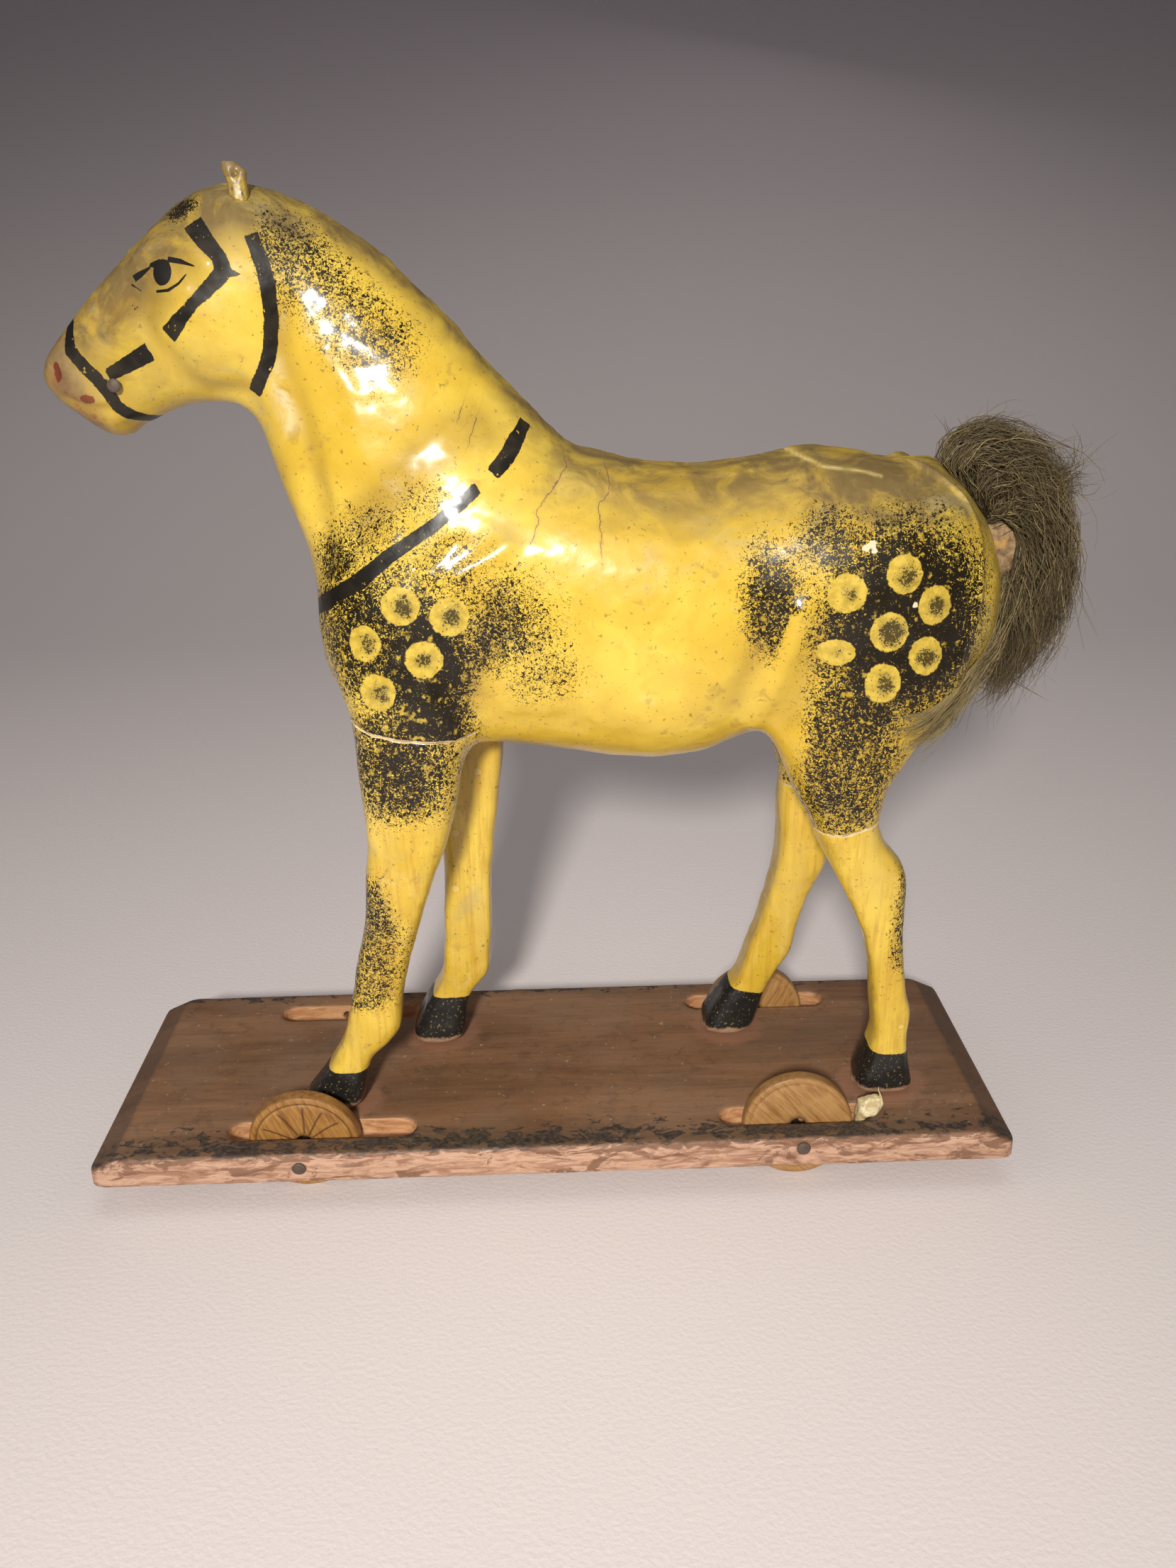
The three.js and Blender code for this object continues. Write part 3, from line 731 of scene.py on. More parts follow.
# Strokes of the brush round the pupil: points (x, z), widths.
EYE_LINES = [
    ([(-75.9, 205.5), (-78.3, 205.3)], [1.9, 0.6]),
    ([(-81.9, 202.9), (-80.6, 203.6), (-78.2, 204.9)], [1.3, 1.2, 0.4]),
    ([(-74.3, 206.3), (-71.8, 205.9), (-68.9, 205.0)], [1.0, 0.95, 0.25]),
    ([(-77.2, 200.6), (-74.6, 200.8), (-72.4, 202.0), (-70.8, 203.6)], [0.5, 0.6, 0.5, 0.25]),
    ([(-82.6, 201.9), (-80.5, 200.7)], [0.35, 0.25]),
    ([(-83.3, 198.9), (-82.3, 197.3), (-81.7, 197.9)], [0.3, 0.35, 0.2]),
]
LIPS = [(-101, 6, 184), (-99, 8, 181.8), (-96.5, 8, 178.6), (-93, 7, 175.8)]
# Dabs of red at the nostril and the corner of the mouth: centre, radii.
RED_DABS = [((-100.2, 8, 185.8), (1.3, 1.5, 2.1)), ((-94.7, 8.8, 180.5), (1.7, 1.5, 1.1))]
RUBBED = [(-56.5, 10.5, 187), (-55.3, 10.5, 181), (-54.6, 10.5, 175)]
POLL = [(-54, 3, 216), (-64, 4, 217), (-79, 3, 210), (-92, 2, 199)]
FLANK_STRIP = [(41, 15, 112), (43.5, 20.6, 119.5), (45.6, 22.7, 127), (47.4, 23.7, 135.5)]
BACK_EDGE = [(36, 6, 166.4), (40, 6, 166.9), (47, 7, 167.4), (54, 9.5, 164.6), (61, 10, 163.8),
             (66, 10, 162.6)]
# Flakes of paint knocked off the left side: x, z, radius.
CHIPS = [(60.9, 150.2, 0.8), (62.3, 150.9, 0.8), (62.6, 149.6, 0.6), (71.3, 138.6, 0.6),
         (44.6, 92.6, 0.7), (-30.5, 147.4, 0.5)]
# Clouds of black spatter: strength, centre (x, z), radii, how flat the middle is.
SHOULDER_CLOUDS = [
    (0.80, (-38, 133), (21, 20), 4), (0.70, (-13, 136), (15, 13), 3),
    (0.56, (-24, 147), (12, 10), 3), (0.56, (-5, 125), (10, 9), 3),
    (0.86, (-35, 108), (18, 15), 4), (0.74, (-47, 148), (7.5, 8), 3),
    (0.60, (-39, 154), (12, 8), 3), (0.44, (-28, 160), (10, 7), 3),
]
HAUNCH_CLOUDS = [
    (0.78, (70, 135), (23, 27), 4), (0.80, (60, 105), (15, 24), 4),
    (0.70, (54, 151), (12, 9), 3), (0.80, (42.5, 140), (8, 15), 3),
]
NECK_LINE = [(-54, 9, 207), (-45, 11.5, 200), (-36, 12.5, 189.5)]
FAR = 9.0  # a distance that means "not painted here"
# The horse's paint attributes, with the value that leaves each paint out.
# The dirt layer also holds painted shade over the head; the crease layer is painted shade in the creases.
UNPAINTED = dict(spatter=0, bands=FAR, rings=FAR, cores=FAR, cracks=FAR, lips=0, red=FAR, dirt=0,
                 crease_shade=0, rubbed=0, lip=0, chips=0, muzzle=0, joint=FAR, hoof=-FAR, eye=FAR)


def blob(p, centre, radii, power=2):
    """A round patch, 1 at its centre; a higher power gives it a flat middle."""
    q = (p[:, [0, 2]] - np.array(centre)) / np.array(radii)
    return np.exp(-((q**2).sum(1)) ** (power / 2))


def thickest(m, clouds):
    return np.maximum.reduce([strength * blob(m, *cloud) for strength, *cloud in clouds])


def body_spatter(m):
    """How thick the black spatter lies at mirrored points m of the body, from 0 to 1."""
    x, z = m[:, 0], m[:, 2]
    shoulder = thickest(m, SHOULDER_CLOUDS) + 0.46 * blob(m, (-26, 123), (10, 12), 3)
    shoulder *= 1 - 0.45 * blob(m, (-16.8, 120), (2.0, 6))
    neck = 0.60 * np.exp(-(to_line(m, NECK_LINE) / 10.5) ** 3) * step(x, -61, -56)
    haunch = thickest(m, HAUNCH_CLOUDS) + 0.34 * blob(m, (70, 133), (15, 19), 3)
    haunch *= 1 - np.exp(-(to_line(m, FLANK_STRIP) / 1.9) ** 4)
    haunch *= 1 - 0.85 * blob(m, (46.5, 107), (3.5, 9))
    forelock = 0.85 * blob(m, (-73, 214.5), (3.6, 2.2)) + 0.55 * blob(m, (-70, 216.5), (3, 1.6))
    fade = 1 - step(z, 157, 164) * (x > -5)
    return np.clip((shoulder + forelock + neck + haunch) * fade, 0, 1)


def leg_spatter(name, co):
    x, z = co[:, 0], co[:, 2]
    if name == "leg_front_left":
        upper = 0.92 * step(z, 82, 97) * blob(co, (-36, 106), (17, 24))
        front = step(x + (z - 60) * -0.16, -38, -46) * step(z, 40, 47) * step(z, 84, 76)
        low = 0.68 * np.clip(0.75 * front + 0.72 * step(z, 38, 48) * step(z, 80, 60), 0, 1)
        return np.clip(np.maximum(upper, low), 0, 1)
    if name == "leg_hind_left":
        return 0.68 * step(x, 70, 76) * step(z, 44, 52) * step(z, 84, 78)
    return np.zeros(len(co))


def off_joint(co, joint):
    return np.minimum(np.abs(co[:, 2] + joint_wave(co) - joint), FAR)


# Darker on faces turned to the rear, behind x = 70.
def rear_darkening(co, n):
    return 0.5 * step(n[:, 0], 0.45, 0.9) * step(co[:, 0], 70, 80)


def body_dirt_and_shade(co, n, m):
    """Grime on what faces up, the poll and the crest, painted shade with grime over the face, and a
    darker rear.
    """
    top = step(n[:, 2], 0.30, 0.90) * (0.92 + 1.1 * step(co[:, 0], 42, 60))
    poll = near_line(m, POLL, 9.5)
    crest = np.exp(-(m[:, 1] / 4.5) ** 2) * step(n[:, 2] + n[:, 0], 0.3, 0.9)
    # painted shade with grime: the head darker towards its front
    face = step(co[:, 0], -58, -76)
    return np.clip(top + 2.2 * poll + 0.7 * crest + 0.3 * face + rear_darkening(co, n), 0, 1)


def ring_layers(m):
    """Distances to the painted rings and to their dark middles, in radii."""
    rings, cores = np.full(len(m), FAR), np.full(len(m), FAR)
    for centre, rx, rz, dark in RINGS:
        rel = m - np.array(centre)
        rings = np.minimum(rings, np.linalg.norm(rel / [rx, (rx + rz) / 2, rz], axis=1))
        core = np.linalg.norm((rel - [0.5, 0, -0.2]) / 1.9, axis=1)
        cores = np.minimum(cores, core + (1 - dark) * 0.8)
    return rings, cores


def crack_distance(co):
    cracks = np.full(len(co), FAR)
    for line in CRACKS:
        d = np.where(co[:, 1] < 0, signed_line(co, line), FAR)
        cracks = np.where(np.abs(d) < np.abs(cracks), d, cracks)
    return cracks


def eye_distance(m):
    """Signed distance to the painted pupil and the brush strokes round it."""
    eye = np.full(len(m), FAR)
    near = np.flatnonzero(np.linalg.norm(m - EYE_AREA, axis=1) < 12)
    q = m[near][:, [0, 2]]
    d = q - PUPIL
    u = d[:, 0] * math.cos(EYE_TILT) + d[:, 1] * math.sin(EYE_TILT)
    v = -d[:, 0] * math.sin(EYE_TILT) + d[:, 1] * math.cos(EYE_TILT)
    pupil = (np.hypot(u / 1.9, v / 2.4) - 1) * 2.0
    eye[near] = np.minimum.reduce([pupil] + [strap(q, *line) for line in EYE_LINES])
    return eye


def body_paint_layers(co, n):
    m = mirrored(co)
    near_side = co[:, 1] < 0
    rings, cores = ring_layers(m)
    bands = np.minimum.reduce([strap(m, *line) for line in STRAPS])
    red = np.minimum.reduce([np.linalg.norm((m - centre) / np.array(radii), axis=1)
                             for centre, radii in RED_DABS])
    # Painted shade and grime: darker in the hollows that the strokes press in.
    creases = [-height * near_line(m, line, 0.7 * radius)
               for line, radius, height in STROKES if height < 0]
    strip_edge = np.exp(-(np.abs(signed_line(co, BACK_EDGE)) / 0.27) ** 2)
    lip = np.maximum(near_line(m, RUMP_LIP, 0.55), 0.9 * strip_edge * near_side * (co[:, 2] > 155))
    chips = np.maximum.reduce([blob(co, (x, z), (r, r)) for x, z, r in CHIPS]) * near_side
    over_leg = np.logical_or.reduce([in_leg_box(co, leg, 0.3) for leg in LEGS.values()])
    joint = off_joint(co, np.where(co[:, 0] < LEGS_SPLIT, FRONT_JOINT, HIND_JOINT))
    return dict(spatter=body_spatter(m), bands=np.minimum(bands, FAR), rings=rings, cores=cores,
                cracks=crack_distance(co), lips=near_line(m, LIPS, 1.4), red=np.minimum(red, FAR),
                dirt=body_dirt_and_shade(co, n, m), crease_shade=np.clip(np.maximum.reduce(creases), 0, 1),
                rubbed=near_line(m, RUBBED, 1.8), lip=lip, chips=chips,
                muzzle=step(co[:, 0] + (co[:, 2] - 185) * 0.3, -92.5, -98.5),
                joint=np.where(over_leg, joint, FAR), eye=eye_distance(m))


def leg_paint_layers(name, co, n):
    leg = LEGS[name]
    hoof = leg["coronet"] - co[:, 2] - (co[:, 0] - SLANT_FROM) * leg["slant"]
    return dict(spatter=leg_spatter(name, co), dirt=rear_darkening(co, n), hoof=hoof,
                joint=off_joint(co, leg["joint"]))


def paint_horse(name, mesh):
    """Writes where each paint lies, as attributes that the material reads."""
    co, n = coords(mesh), normals(mesh)
    painted = leg_paint_layers(name, co, n) if name in LEGS else body_paint_layers(co, n)
    for layer, absent in UNPAINTED.items():
        set_attributes(mesh, **{layer: painted.get(layer, np.full(len(co), absent))})


def refine_near(mesh, centre, radius, cuts):
    """Finer faces round a small painted feature."""
    bm = bmesh.new()
    bm.from_mesh(mesh)
    centre = Vector(centre) * MM
    edges = [e for e in bm.edges if all((v.co - centre).length < radius * MM for v in e.verts)]
    bmesh.ops.subdivide_edges(bm, edges=edges, cuts=cuts, use_grid_fill=True, smooth=0.0)
    bmesh.ops.triangulate(bm, faces=[f for f in bm.faces if len(f.verts) > 4])
    bm.to_mesh(mesh)
    bm.free()


class HorsePaint(Paint):
    """Yellow varnish paint with spatter, rings, straps, dirt, painted shade and cracks; wood adds carved
    grain.
    """

    def __init__(self, name, wood):
        super().__init__(name, Specular_IOR_Level=0.25, Coat_Roughness=0.12, Coat_IOR=1.5)
        self.broad = self.noise(28, 3.0, 0.55)
        self.mottle = self.noise(120, 4.0, 0.6, 0.6)
        self.fine = self.noise(620, 3.0, 0.6)
        self.ragged = self.centred(self.noise(700, 3.0, 0.65), 0.35)
        colour = self.varnish()
        if wood:
            colour = self.carved_grain(colour)
        colour = self.damage(self.harness(self.dapples(self.aged(colour))))
        if wood:
            colour = self.hooves(colour)
        self.finish(colour)

    def varnish(self):
        """The yellow itself: broad and fine changes of tone, and pale places."""
        yellow = self.mix(self.ramp(self.broad, 0.38, 0.62), (0.66, 0.435, 0.040),
                          (0.80, 0.570, 0.075))
        ochre = self.mix(0.5, yellow, (0.58, 0.36, 0.035))
        yellow = self.mix(self.ramp(self.mottle, 0.30, 0.72), ochre, yellow)
        pale = self.noise(75, 5.0, 0.65, 0.4, at=self.moved(1.7, 0.3, 0.9))
        return self.over(yellow, (self.ramp(pale, 0.60, 0.78), 0.55, (0.80, 0.60, 0.22)))

    def carved_grain(self, yellow):
        """Streaks of the wood under the paint, and drips in the varnish."""
        streak = self.noise(1.0, 4.0, 0.65, 0.2, at=self.scaled(900, 900, 26))
        fade = self.noise(1.0, at=self.scaled(160, 160, 14))
        drips = self.node("TexVoronoi", {"Vector": self.place, "Scale": 95.0}).outputs["Distance"]
        halo = self.times(self.ramp(drips, 0.135, 0.10), self.ramp(drips, 0.085, 0.105))
        return self.over(yellow,
                         (self.ramp(streak, 0.42, 0.72), 0.6, (0.50, 0.26, 0.03)),
                         (self.ramp(fade, 0.45, 0.75), 0.35, (0.78, 0.60, 0.17)),
                         (self.ramp(drips, 0.10, 0.075), 0.30, (0.85, 0.70, 0.33)),
                         (halo, 0.35, (0.48, 0.27, 0.03)))

    def aged(self, yellow):
        """Grime with painted shade over the head, specks, painted shade and grime in the creases, rubbed
        places and stains, then the brown muzzle and red lips.
        """
        mottle, fine = self.mottle, self.fine
        grime_and_shade = self.noise(95, 5.0, 0.65, 0.8, at=self.moved(0.4, 1.1, 0.2))
        self.grime_and_shade = self.times(self.attr("dirt"), self.ramp(grime_and_shade, 0.32, 0.60, 0.42, 1.0))
        specks = self.noise(1100, 2.0, 0.5, 0.5)
        crease_shade = self.times(self.attr("crease_shade"), self.ramp(mottle, 0.25, 0.6, 0.4, 1.0))
        rubbed = self.times(self.attr("rubbed"), self.ramp(mottle, 0.35, 0.55))
        film = self.noise(48, 5.0, 0.7, 0.9, at=self.moved(5.3, 1.2, 0.7))
        stain = self.noise(210, 3.0, 0.6, 0.6, at=self.moved(3.1, 0.2, 2.2))
        lip = self.times(self.attr("lip"), self.ramp(mottle, 0.40, 0.58, 0.15, 1.0))
        muzzle = self.times(self.attr("muzzle"), self.ramp(mottle, 0.25, 0.6, 0.55, 1.0))
        lips = self.times(self.attr("lips"), self.ramp(fine, 0.40, 0.62))
        red = self.plus(self.attr("red"), self.centred(fine, 0.4))
        return self.over(
            yellow,
            # grime, and painted shade over the head, in dark brown
            (self.grime_and_shade, 0.88, self.mix(fine, (0.070, 0.046, 0.026), (0.17, 0.115, 0.060))),
            (self.ramp(specks, 0.665, 0.70), 0.55, (0.16, 0.10, 0.03)),
            # painted shade and grime in the pressed-in creases
            (crease_shade, 0.55, (0.27, 0.155, 0.03)),
            (rubbed, 0.8, (0.76, 0.66, 0.42)),
            (self.ramp(film, 0.54, 0.70), 0.42, (0.42, 0.34, 0.16)),
            (self.ramp(stain, 0.60, 0.72), 0.38, (0.33, 0.20, 0.05)),
            (lip, 1.0, (0.78, 0.58, 0.22)),
            (muzzle, 0.92, self.mix(fine, (0.085, 0.046, 0.025), (0.29, 0.185, 0.10))),
            (lips, 0.8, (0.25, 0.06, 0.02)),
            (self.ramp(red, 1.0, 0.85), 0.85, (0.17, 0.020, 0.011)))

    def dapples(self, colour):
        """Black spatter, and on top of it the painted rings with their smoky middles."""
        cloud = self.attr("spatter")
        wavy = self.centred(self.noise(60, 3.0, 0.6), 0.25)
        density = self.plus(cloud, self.times(wavy, self.ramp(cloud, 0.02, 0.25)))
        coarse = self.flecks(density, 1350, (0, 0, 0))
        small = self.flecks(self.times(density, 0.92), 2500, (0.31, 0.17, 0.23))
        worn = self.ramp(self.noise(480, 3.0, 0.6), 0.30, 0.42, 0.35, 1.0)
        spatter = self.times(self.most(coarse, small), worn)
        ring_edge = self.centred(self.noise(900, 3.0, 0.65), 0.17)
        ring = self.ramp(self.plus(self.attr("rings"), ring_edge), 1.02, 0.94)
        smoky = self.plus(self.attr("cores"), self.centred(self.noise(260, 4.0, 0.7), 1.3))
        core = self.flecks(self.ramp(smoky, 1.9, 0.3), 1700, (0.9, 0.4, 0.6))
        dots = self.ramp(self.noise(1500, at=self.moved(2.2, 0.9, 0.4)), 0.66, 0.70)
        core = self.most(core, self.times(dots, 0.8))
        self.dark = self.most(self.times(spatter, self.rest(ring)), self.times(core, ring, 0.85))
        disc = self.mix(self.ramp(self.fine, 0.35, 0.65), (0.50, 0.345, 0.040),
                        (0.66, 0.465, 0.070))
        disc = self.over(disc, (self.ramp(smoky, 1.75, 0.7), 0.45, (0.16, 0.125, 0.045)))
        return self.mix(self.dark, self.mix(ring, colour, disc), (0.013, 0.009, 0.004))

    def harness(self, colour):
        """The painted bridle and breast strap, and the eye."""
        chips = self.ramp(self.noise(820, 3.0, 0.6, at=self.moved(0.7, 0.7, 0.1)), 0.665, 0.70)
        band = self.times(self.ramp(self.plus(self.attr("bands"), self.ragged), 0.09, -0.04),
                          self.rest(self.times(chips, 0.9)))
        black = self.mix(self.ramp(self.mottle, 0.35, 0.7), (0.010, 0.008, 0.006),
                         (0.030, 0.023, 0.013))
        eye = self.ramp(self.plus(self.attr("eye"), self.times(self.ragged, 0.25)), 0.05, -0.05)
        self.dark = self.most(self.dark, band, eye)
        return self.mix(eye, self.mix(band, colour, black), (0.010, 0.008, 0.007))

    def damage(self, colour):
        """Cracks in the shell, the pale broken edge at each joint, and flakes knocked off."""
        jag = self.centred(self.noise(420, 3.0, 0.6), 0.8)
        off = self.math("ABSOLUTE", self.plus(self.attr("cracks"), jag))
        self.crack = self.ramp(off, 0.14, 0.05)
        edge = self.centred(self.noise(500, 3.0, 0.65), 0.25)
        self.broken = self.ramp(self.plus(self.attr("joint"), edge), 0.42, 0.26)
        flaked = self.plus(self.attr("chips"), self.centred(self.fine, 0.5))
        return self.over(
            colour,
            (self.ramp(off, 0.9, 0.2), 0.25, (0.40, 0.25, 0.07)),
            (self.crack, 0.75, (0.12, 0.07, 0.03)),
            (self.broken, 1.0, self.mix(self.fine, (0.62, 0.45, 0.22), (0.86, 0.72, 0.46))),
            (self.ramp(flaked, 0.36, 0.46), 1.0, (0.72, 0.63, 0.42)))

    def hooves(self, colour):
        """Black hooves with yellow flecks, and bare wood at their soles."""
        hoof = self.ramp(self.plus(self.attr("hoof"), self.times(self.ragged, 0.7)), -0.12, 0.12)
        flecked = self.ramp(self.noise(1500, 4.0, 0.75), 0.60, 0.66)
        sole = self.ramp(self.plus(self.height(), self.times(self.ragged, 0.004)), 0.0186, 0.0176)
        self.dark = self.most(self.dark, hoof)
        return self.over(
            colour,
            (hoof, 1.0, self.mix(flecked, (0.013, 0.012, 0.011), (0.30, 0.24, 0.09))),
            (sole, 0.85, self.mix(self.fine, (0.28, 0.14, 0.08), (0.58, 0.38, 0.24))))

    def finish(self, colour):
        """Varnish gloss, duller on grime and painted shade, broken edges and black paint."""
        rough = self.ramp(self.mottle, 0.3, 0.75, 0.30, 0.46)
        rough = self.math("MULTIPLY_ADD", self.grime_and_shade, 0.35, rough)
        rough = self.math("MULTIPLY_ADD", self.broken, 0.4, rough, clamp=True)
        dull = self.most(self.grime_and_shade, self.broken, self.times(self.dark, 0.5))
        coat = self.times(self.ramp(self.broad, 0.3, 0.7, 0.50, 0.80), self.rest(dull))
        self.bump((self.noise(55, 3.0), 0.25, 1.2), (self.noise(330, 3.0, 0.6), 0.30, 0.25),
                  (self.dark, 0.5, 0.05), (self.crack, -0.6, 0.25), (self.fine, 0.25, 0.08))
        self.out(Base_Color=colour, Roughness=rough, Coat_Weight=coat)


def make_horse():
    """Adds the horse's six pieces and returns their meshes."""
    body_paint = HorsePaint("body_paint", False).material
    leg_paint = HorsePaint("leg_paint", True).material
    pieces = horse_pieces()
    for name, side in (("body_left", -1), ("body_right", 1)):
        refine_near(pieces[name], (-75, side * 12.5, 203.5), radius=9.5, cuts=2)
        pieces[name].set_sharp_from_angle(angle=SHARP)
    for name, mesh in pieces.items():
        paint_horse(name, mesh)
        if name in LEGS:
            add_piece("horse_" + name, mesh, leg_paint, name)
        else:
            node = name.replace("body", "body_shell")
            add_piece("horse_" + name, mesh, body_paint, node)
    return pieces.values()


# ---------------------------------------------------------------- platform board

BOARD_VOXEL = 0.66


def box_mm(node):
    low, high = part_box(node)
    return np.array(low) / MM, np.array(high) / MM


def long_noise(co, stretch, cell, seed):
    """Rough noise drawn out along the board's grain."""
    return rough_noise(co * [stretch, 1, 1], cell, seed)


def feet_distance(co):
    """How far points are from the nearest hoof, 1 being its outline and a little more."""
    feet = np.full(len(co), FAR)
    for name in LEGS:
        foot = coords(nodes[name].data)
        foot = foot[foot[:, 2] < 17]
        middle, half = foot.mean(0), np.ptp(foot, 0) / 2
        feet = np.minimum(feet, np.hypot(*((co - middle) / (half + 1.5))[:, :2].T))
    return feet


def board_mesh():
    """The board with worn arrises, a torn near edge and rough slot walls."""
    low, high = box_mm("platform_board")
    mesh = remesh(joined_nodes(["platform_board"], 0), BOARD_VOXEL)
    co = relax(coords(mesh), edge_array(mesh), passes=4)
    set_coords(mesh, co)
    n = normals(mesh)
    near = step(0.4 * long_noise(co, 0.5, 1.7, 37) - n[:, 1], 0.45, 0.75)
    near *= step(co[:, 1], low[1] + 2, low[1] + 1)
    inner = (co[:, 0] > low[0] + 8) & (co[:, 0] < high[0] - 8) & (np.abs(co[:, 1]) < high[1] - 3)
    slot = inner * step(np.abs(n[:, 2]), 0.8, 0.5)
    from_end = np.minimum(co[:, 0] - low[0], high[0] - co[:, 0])
    from_edge = np.minimum(co[:, 1] - low[1], high[1] - co[:, 1])
    push(co, n, near * long_noise(co, 0.22, 1.3, 31) * 0.22)
    push(co, n, slot * long_noise(co, 0.4, 1.2, 32) * 0.2)
    wear = np.exp(-from_edge / 1.1) * step(co[:, 2], high[2] - 1.6, high[2] - 0.2)
    chips = 0.25 + 0.5 * np.maximum(long_noise(co, 0.35, 2.4, 33), -0.4)
    co[:, 2] -= wear * chips * 0.35
    push(co, n, 0.10 * long_noise(co, 0.3, 9.0, 34) * (step(n[:, 2], 0.6, 0.9) + near))
    lumps = step(long_noise(co, 0.45, 2.2, 35), 0.15, 0.5)
    along_edges = np.maximum(np.exp(-((co[:, 1] - low[1] - 3.5) / 5.2) ** 2),
                             0.8 * np.exp(-((high[1] - co[:, 1]) / 3.0) ** 2))
    residue = along_edges * step(n[:, 2], 0.1, 0.5)
    residue *= 0.75 + 0.5 * rough_noise(co[:, :2], 26.0, 36)
    push(co, n, residue * lumps * 0.12)
    set_coords(mesh, co)
    set_attributes(mesh, bare=near, slot=slot, residue=np.clip(residue, 0, 1),
                   far=step(n[:, 1], 0.6, 0.9) * step(co[:, 1], high[1] - 2, high[1] - 1),
                   under=step(-n[:, 2], 0.6, 0.9),
                   bevel=step(from_end, 6.5, 5.5) * step(n[:, 2], 0.3, 0.5),
                   rim=np.clip(from_edge, 0, FAR) + np.clip(high[2] - co[:, 2], 0, FAR),
                   feet=feet_distance(co))
    return mesh


def board_paint():
    """Dull red-brown paint with black gum along its edges, and bare torn wood on the near edge."""
    p = Paint("board_paint", Coat_Roughness=0.35)
    cloud = p.noise(60, 4.0, 0.6, 0.5, at=p.scaled(0.22))
    grain = p.noise(420, 4.0, 0.65, 0.4, at=p.scaled(0.07))
    fine = p.noise(900, 3.0, 0.6)
    mottle = p.noise(240, 5.0, 0.7, 0.8)
    fibres = p.noise(520, 5.0, 0.7, 1.2, at=p.scaled(0.20))
    dust = p.noise(750, 2.0, 0.55)
    haze = p.noise(38, 3.0, 0.55)
    residue, rim = p.attr("residue"), p.attr("rim")
    gum_limit = p.ramp(p.noise(330, 6.0, 0.72, 0.6, at=p.scaled(0.6)), 0.36, 0.62)
    gum = p.ramp(p.math("SUBTRACT", residue, gum_limit), -0.03, 0.10)
    gum_colour = p.mix(p.ramp(fine, 0.35, 0.65), (0.016, 0.013, 0.012), (0.070, 0.056, 0.046))
    feet = p.ramp(p.plus(p.attr("feet"), p.centred(mottle, 0.4)), 1.35, 1.0)
    brown = p.over(
        p.mix(p.ramp(cloud, 0.32, 0.66), (0.175, 0.086, 0.041), (0.290, 0.148, 0.073)),
        (p.ramp(grain, 0.47, 0.68), 0.24, (0.070, 0.036, 0.021)),
        (p.ramp(grain, 0.38, 0.22), 0.22, (0.26, 0.14, 0.075)),
        (p.ramp(mottle, 0.50, 0.68), 0.36, (0.060, 0.042, 0.028)),
        (p.ramp(dust, 0.70, 0.735), 0.65, (0.46, 0.37, 0.27)),
        (p.ramp(haze, 0.42, 0.66), 0.22, (0.24, 0.18, 0.13)),
        (residue, 0.6, (0.075, 0.050, 0.032)),
        (gum, 0.88, gum_colour),
        (p.attr("bevel"), 0.5, p.mix(fine, (0.030, 0.019, 0.015), (0.075, 0.046, 0.034))),
        (feet, 0.7, (0.33, 0.16, 0.095)))
    flaking = p.plus(p.noise(260, 5.0, 0.7, 0.8, at=p.scaled(0.35)),
                     p.ramp(rim, 0.2, 2.6, 0.14, 0.0))
    split = p.ramp(p.noise(75, 2.0, 0.5, 0.5, at=p.scaled(z=0.12)), 0.745, 0.76)
    wood = p.over(
        p.mix(p.ramp(fibres, 0.34, 0.60), (0.30, 0.145, 0.085), (0.57, 0.35, 0.235)),
        (p.ramp(fibres, 0.60, 0.70), 0.7, (0.20, 0.095, 0.05)),
        (p.ramp(flaking, 0.53, 0.60), 0.85,
         p.mix(grain, (0.13, 0.060, 0.030), (0.24, 0.115, 0.06))),
        (split, 0.7, (0.07, 0.035, 0.02)))
    slot_wood = p.mix(p.ramp(fibres, 0.3, 0.7), (0.36, 0.14, 0.05), (0.64, 0.36, 0.17))
    under_wood = p.mix(p.ramp(grain, 0.3, 0.7), (0.20, 0.11, 0.06), (0.38, 0.23, 0.135))
    arris = p.plus(rim, p.centred(p.noise(420, 5.0, 0.7, at=p.scaled(0.4)), 2.2))
    colour = p.over(brown,
                    (p.attr("bare"), 1.0, wood),
                    (p.attr("far"), 0.5, wood),
                    (p.ramp(arris, 1.15, 0.55), 0.8, (0.060, 0.036, 0.022)),
                    (p.attr("slot"), 1.0, slot_wood),
                    (p.attr("under"), 1.0, under_wood))
    p.bump((cloud, 0.3, 0.6), (grain, 0.5, 0.25), (fibres, 0.45, 0.22), (gum, 0.5, 0.15),
           (fine, 0.3, 0.12))
    return p.out(Base_Color=colour, Roughness=p.ramp(cloud, 0.3, 0.7, 0.50, 0.70))


def make_board():
    add_piece("board", board_mesh(), board_paint(), "platform_board")


# ---------------------------------------------------------------- turned pieces

def lathe(profile, start, axis, segments, closed=False):
    """A turned surface: the profile's points are (radius, height along the axis), and it ends on
    the axis or, if closed, joins its own start."""
    turn = Vector((0, 0, 1)).rotation_difference(Vector(axis).normalized()).to_matrix()
    verts, rings = [], []
    for r, h in profile:
        count = segments if r > 1e-6 else 1
        rings.append(list(range(len(verts), len(verts) + count)))
        for k in range(count):
            a = 2 * math.pi * k / segments
            verts.append(turn @ Vector((r * math.cos(a), r * math.sin(a), h)) + Vector(start))
    pairs = list(zip(rings[:-1], rings[1:])) + ([(rings[-1], rings[0])] if closed else [])
    faces = []
    for a, b in pairs:
        for k in range(segments):
            j = (k + 1) % segments
            corners = [a[k % len(a)], a[j % len(a)], b[j % len(b)], b[k % len(b)]]
            faces.append(list(dict.fromkeys(corners)))
    return mesh_from("turned", verts, [face for face in faces if len(face) > 2])


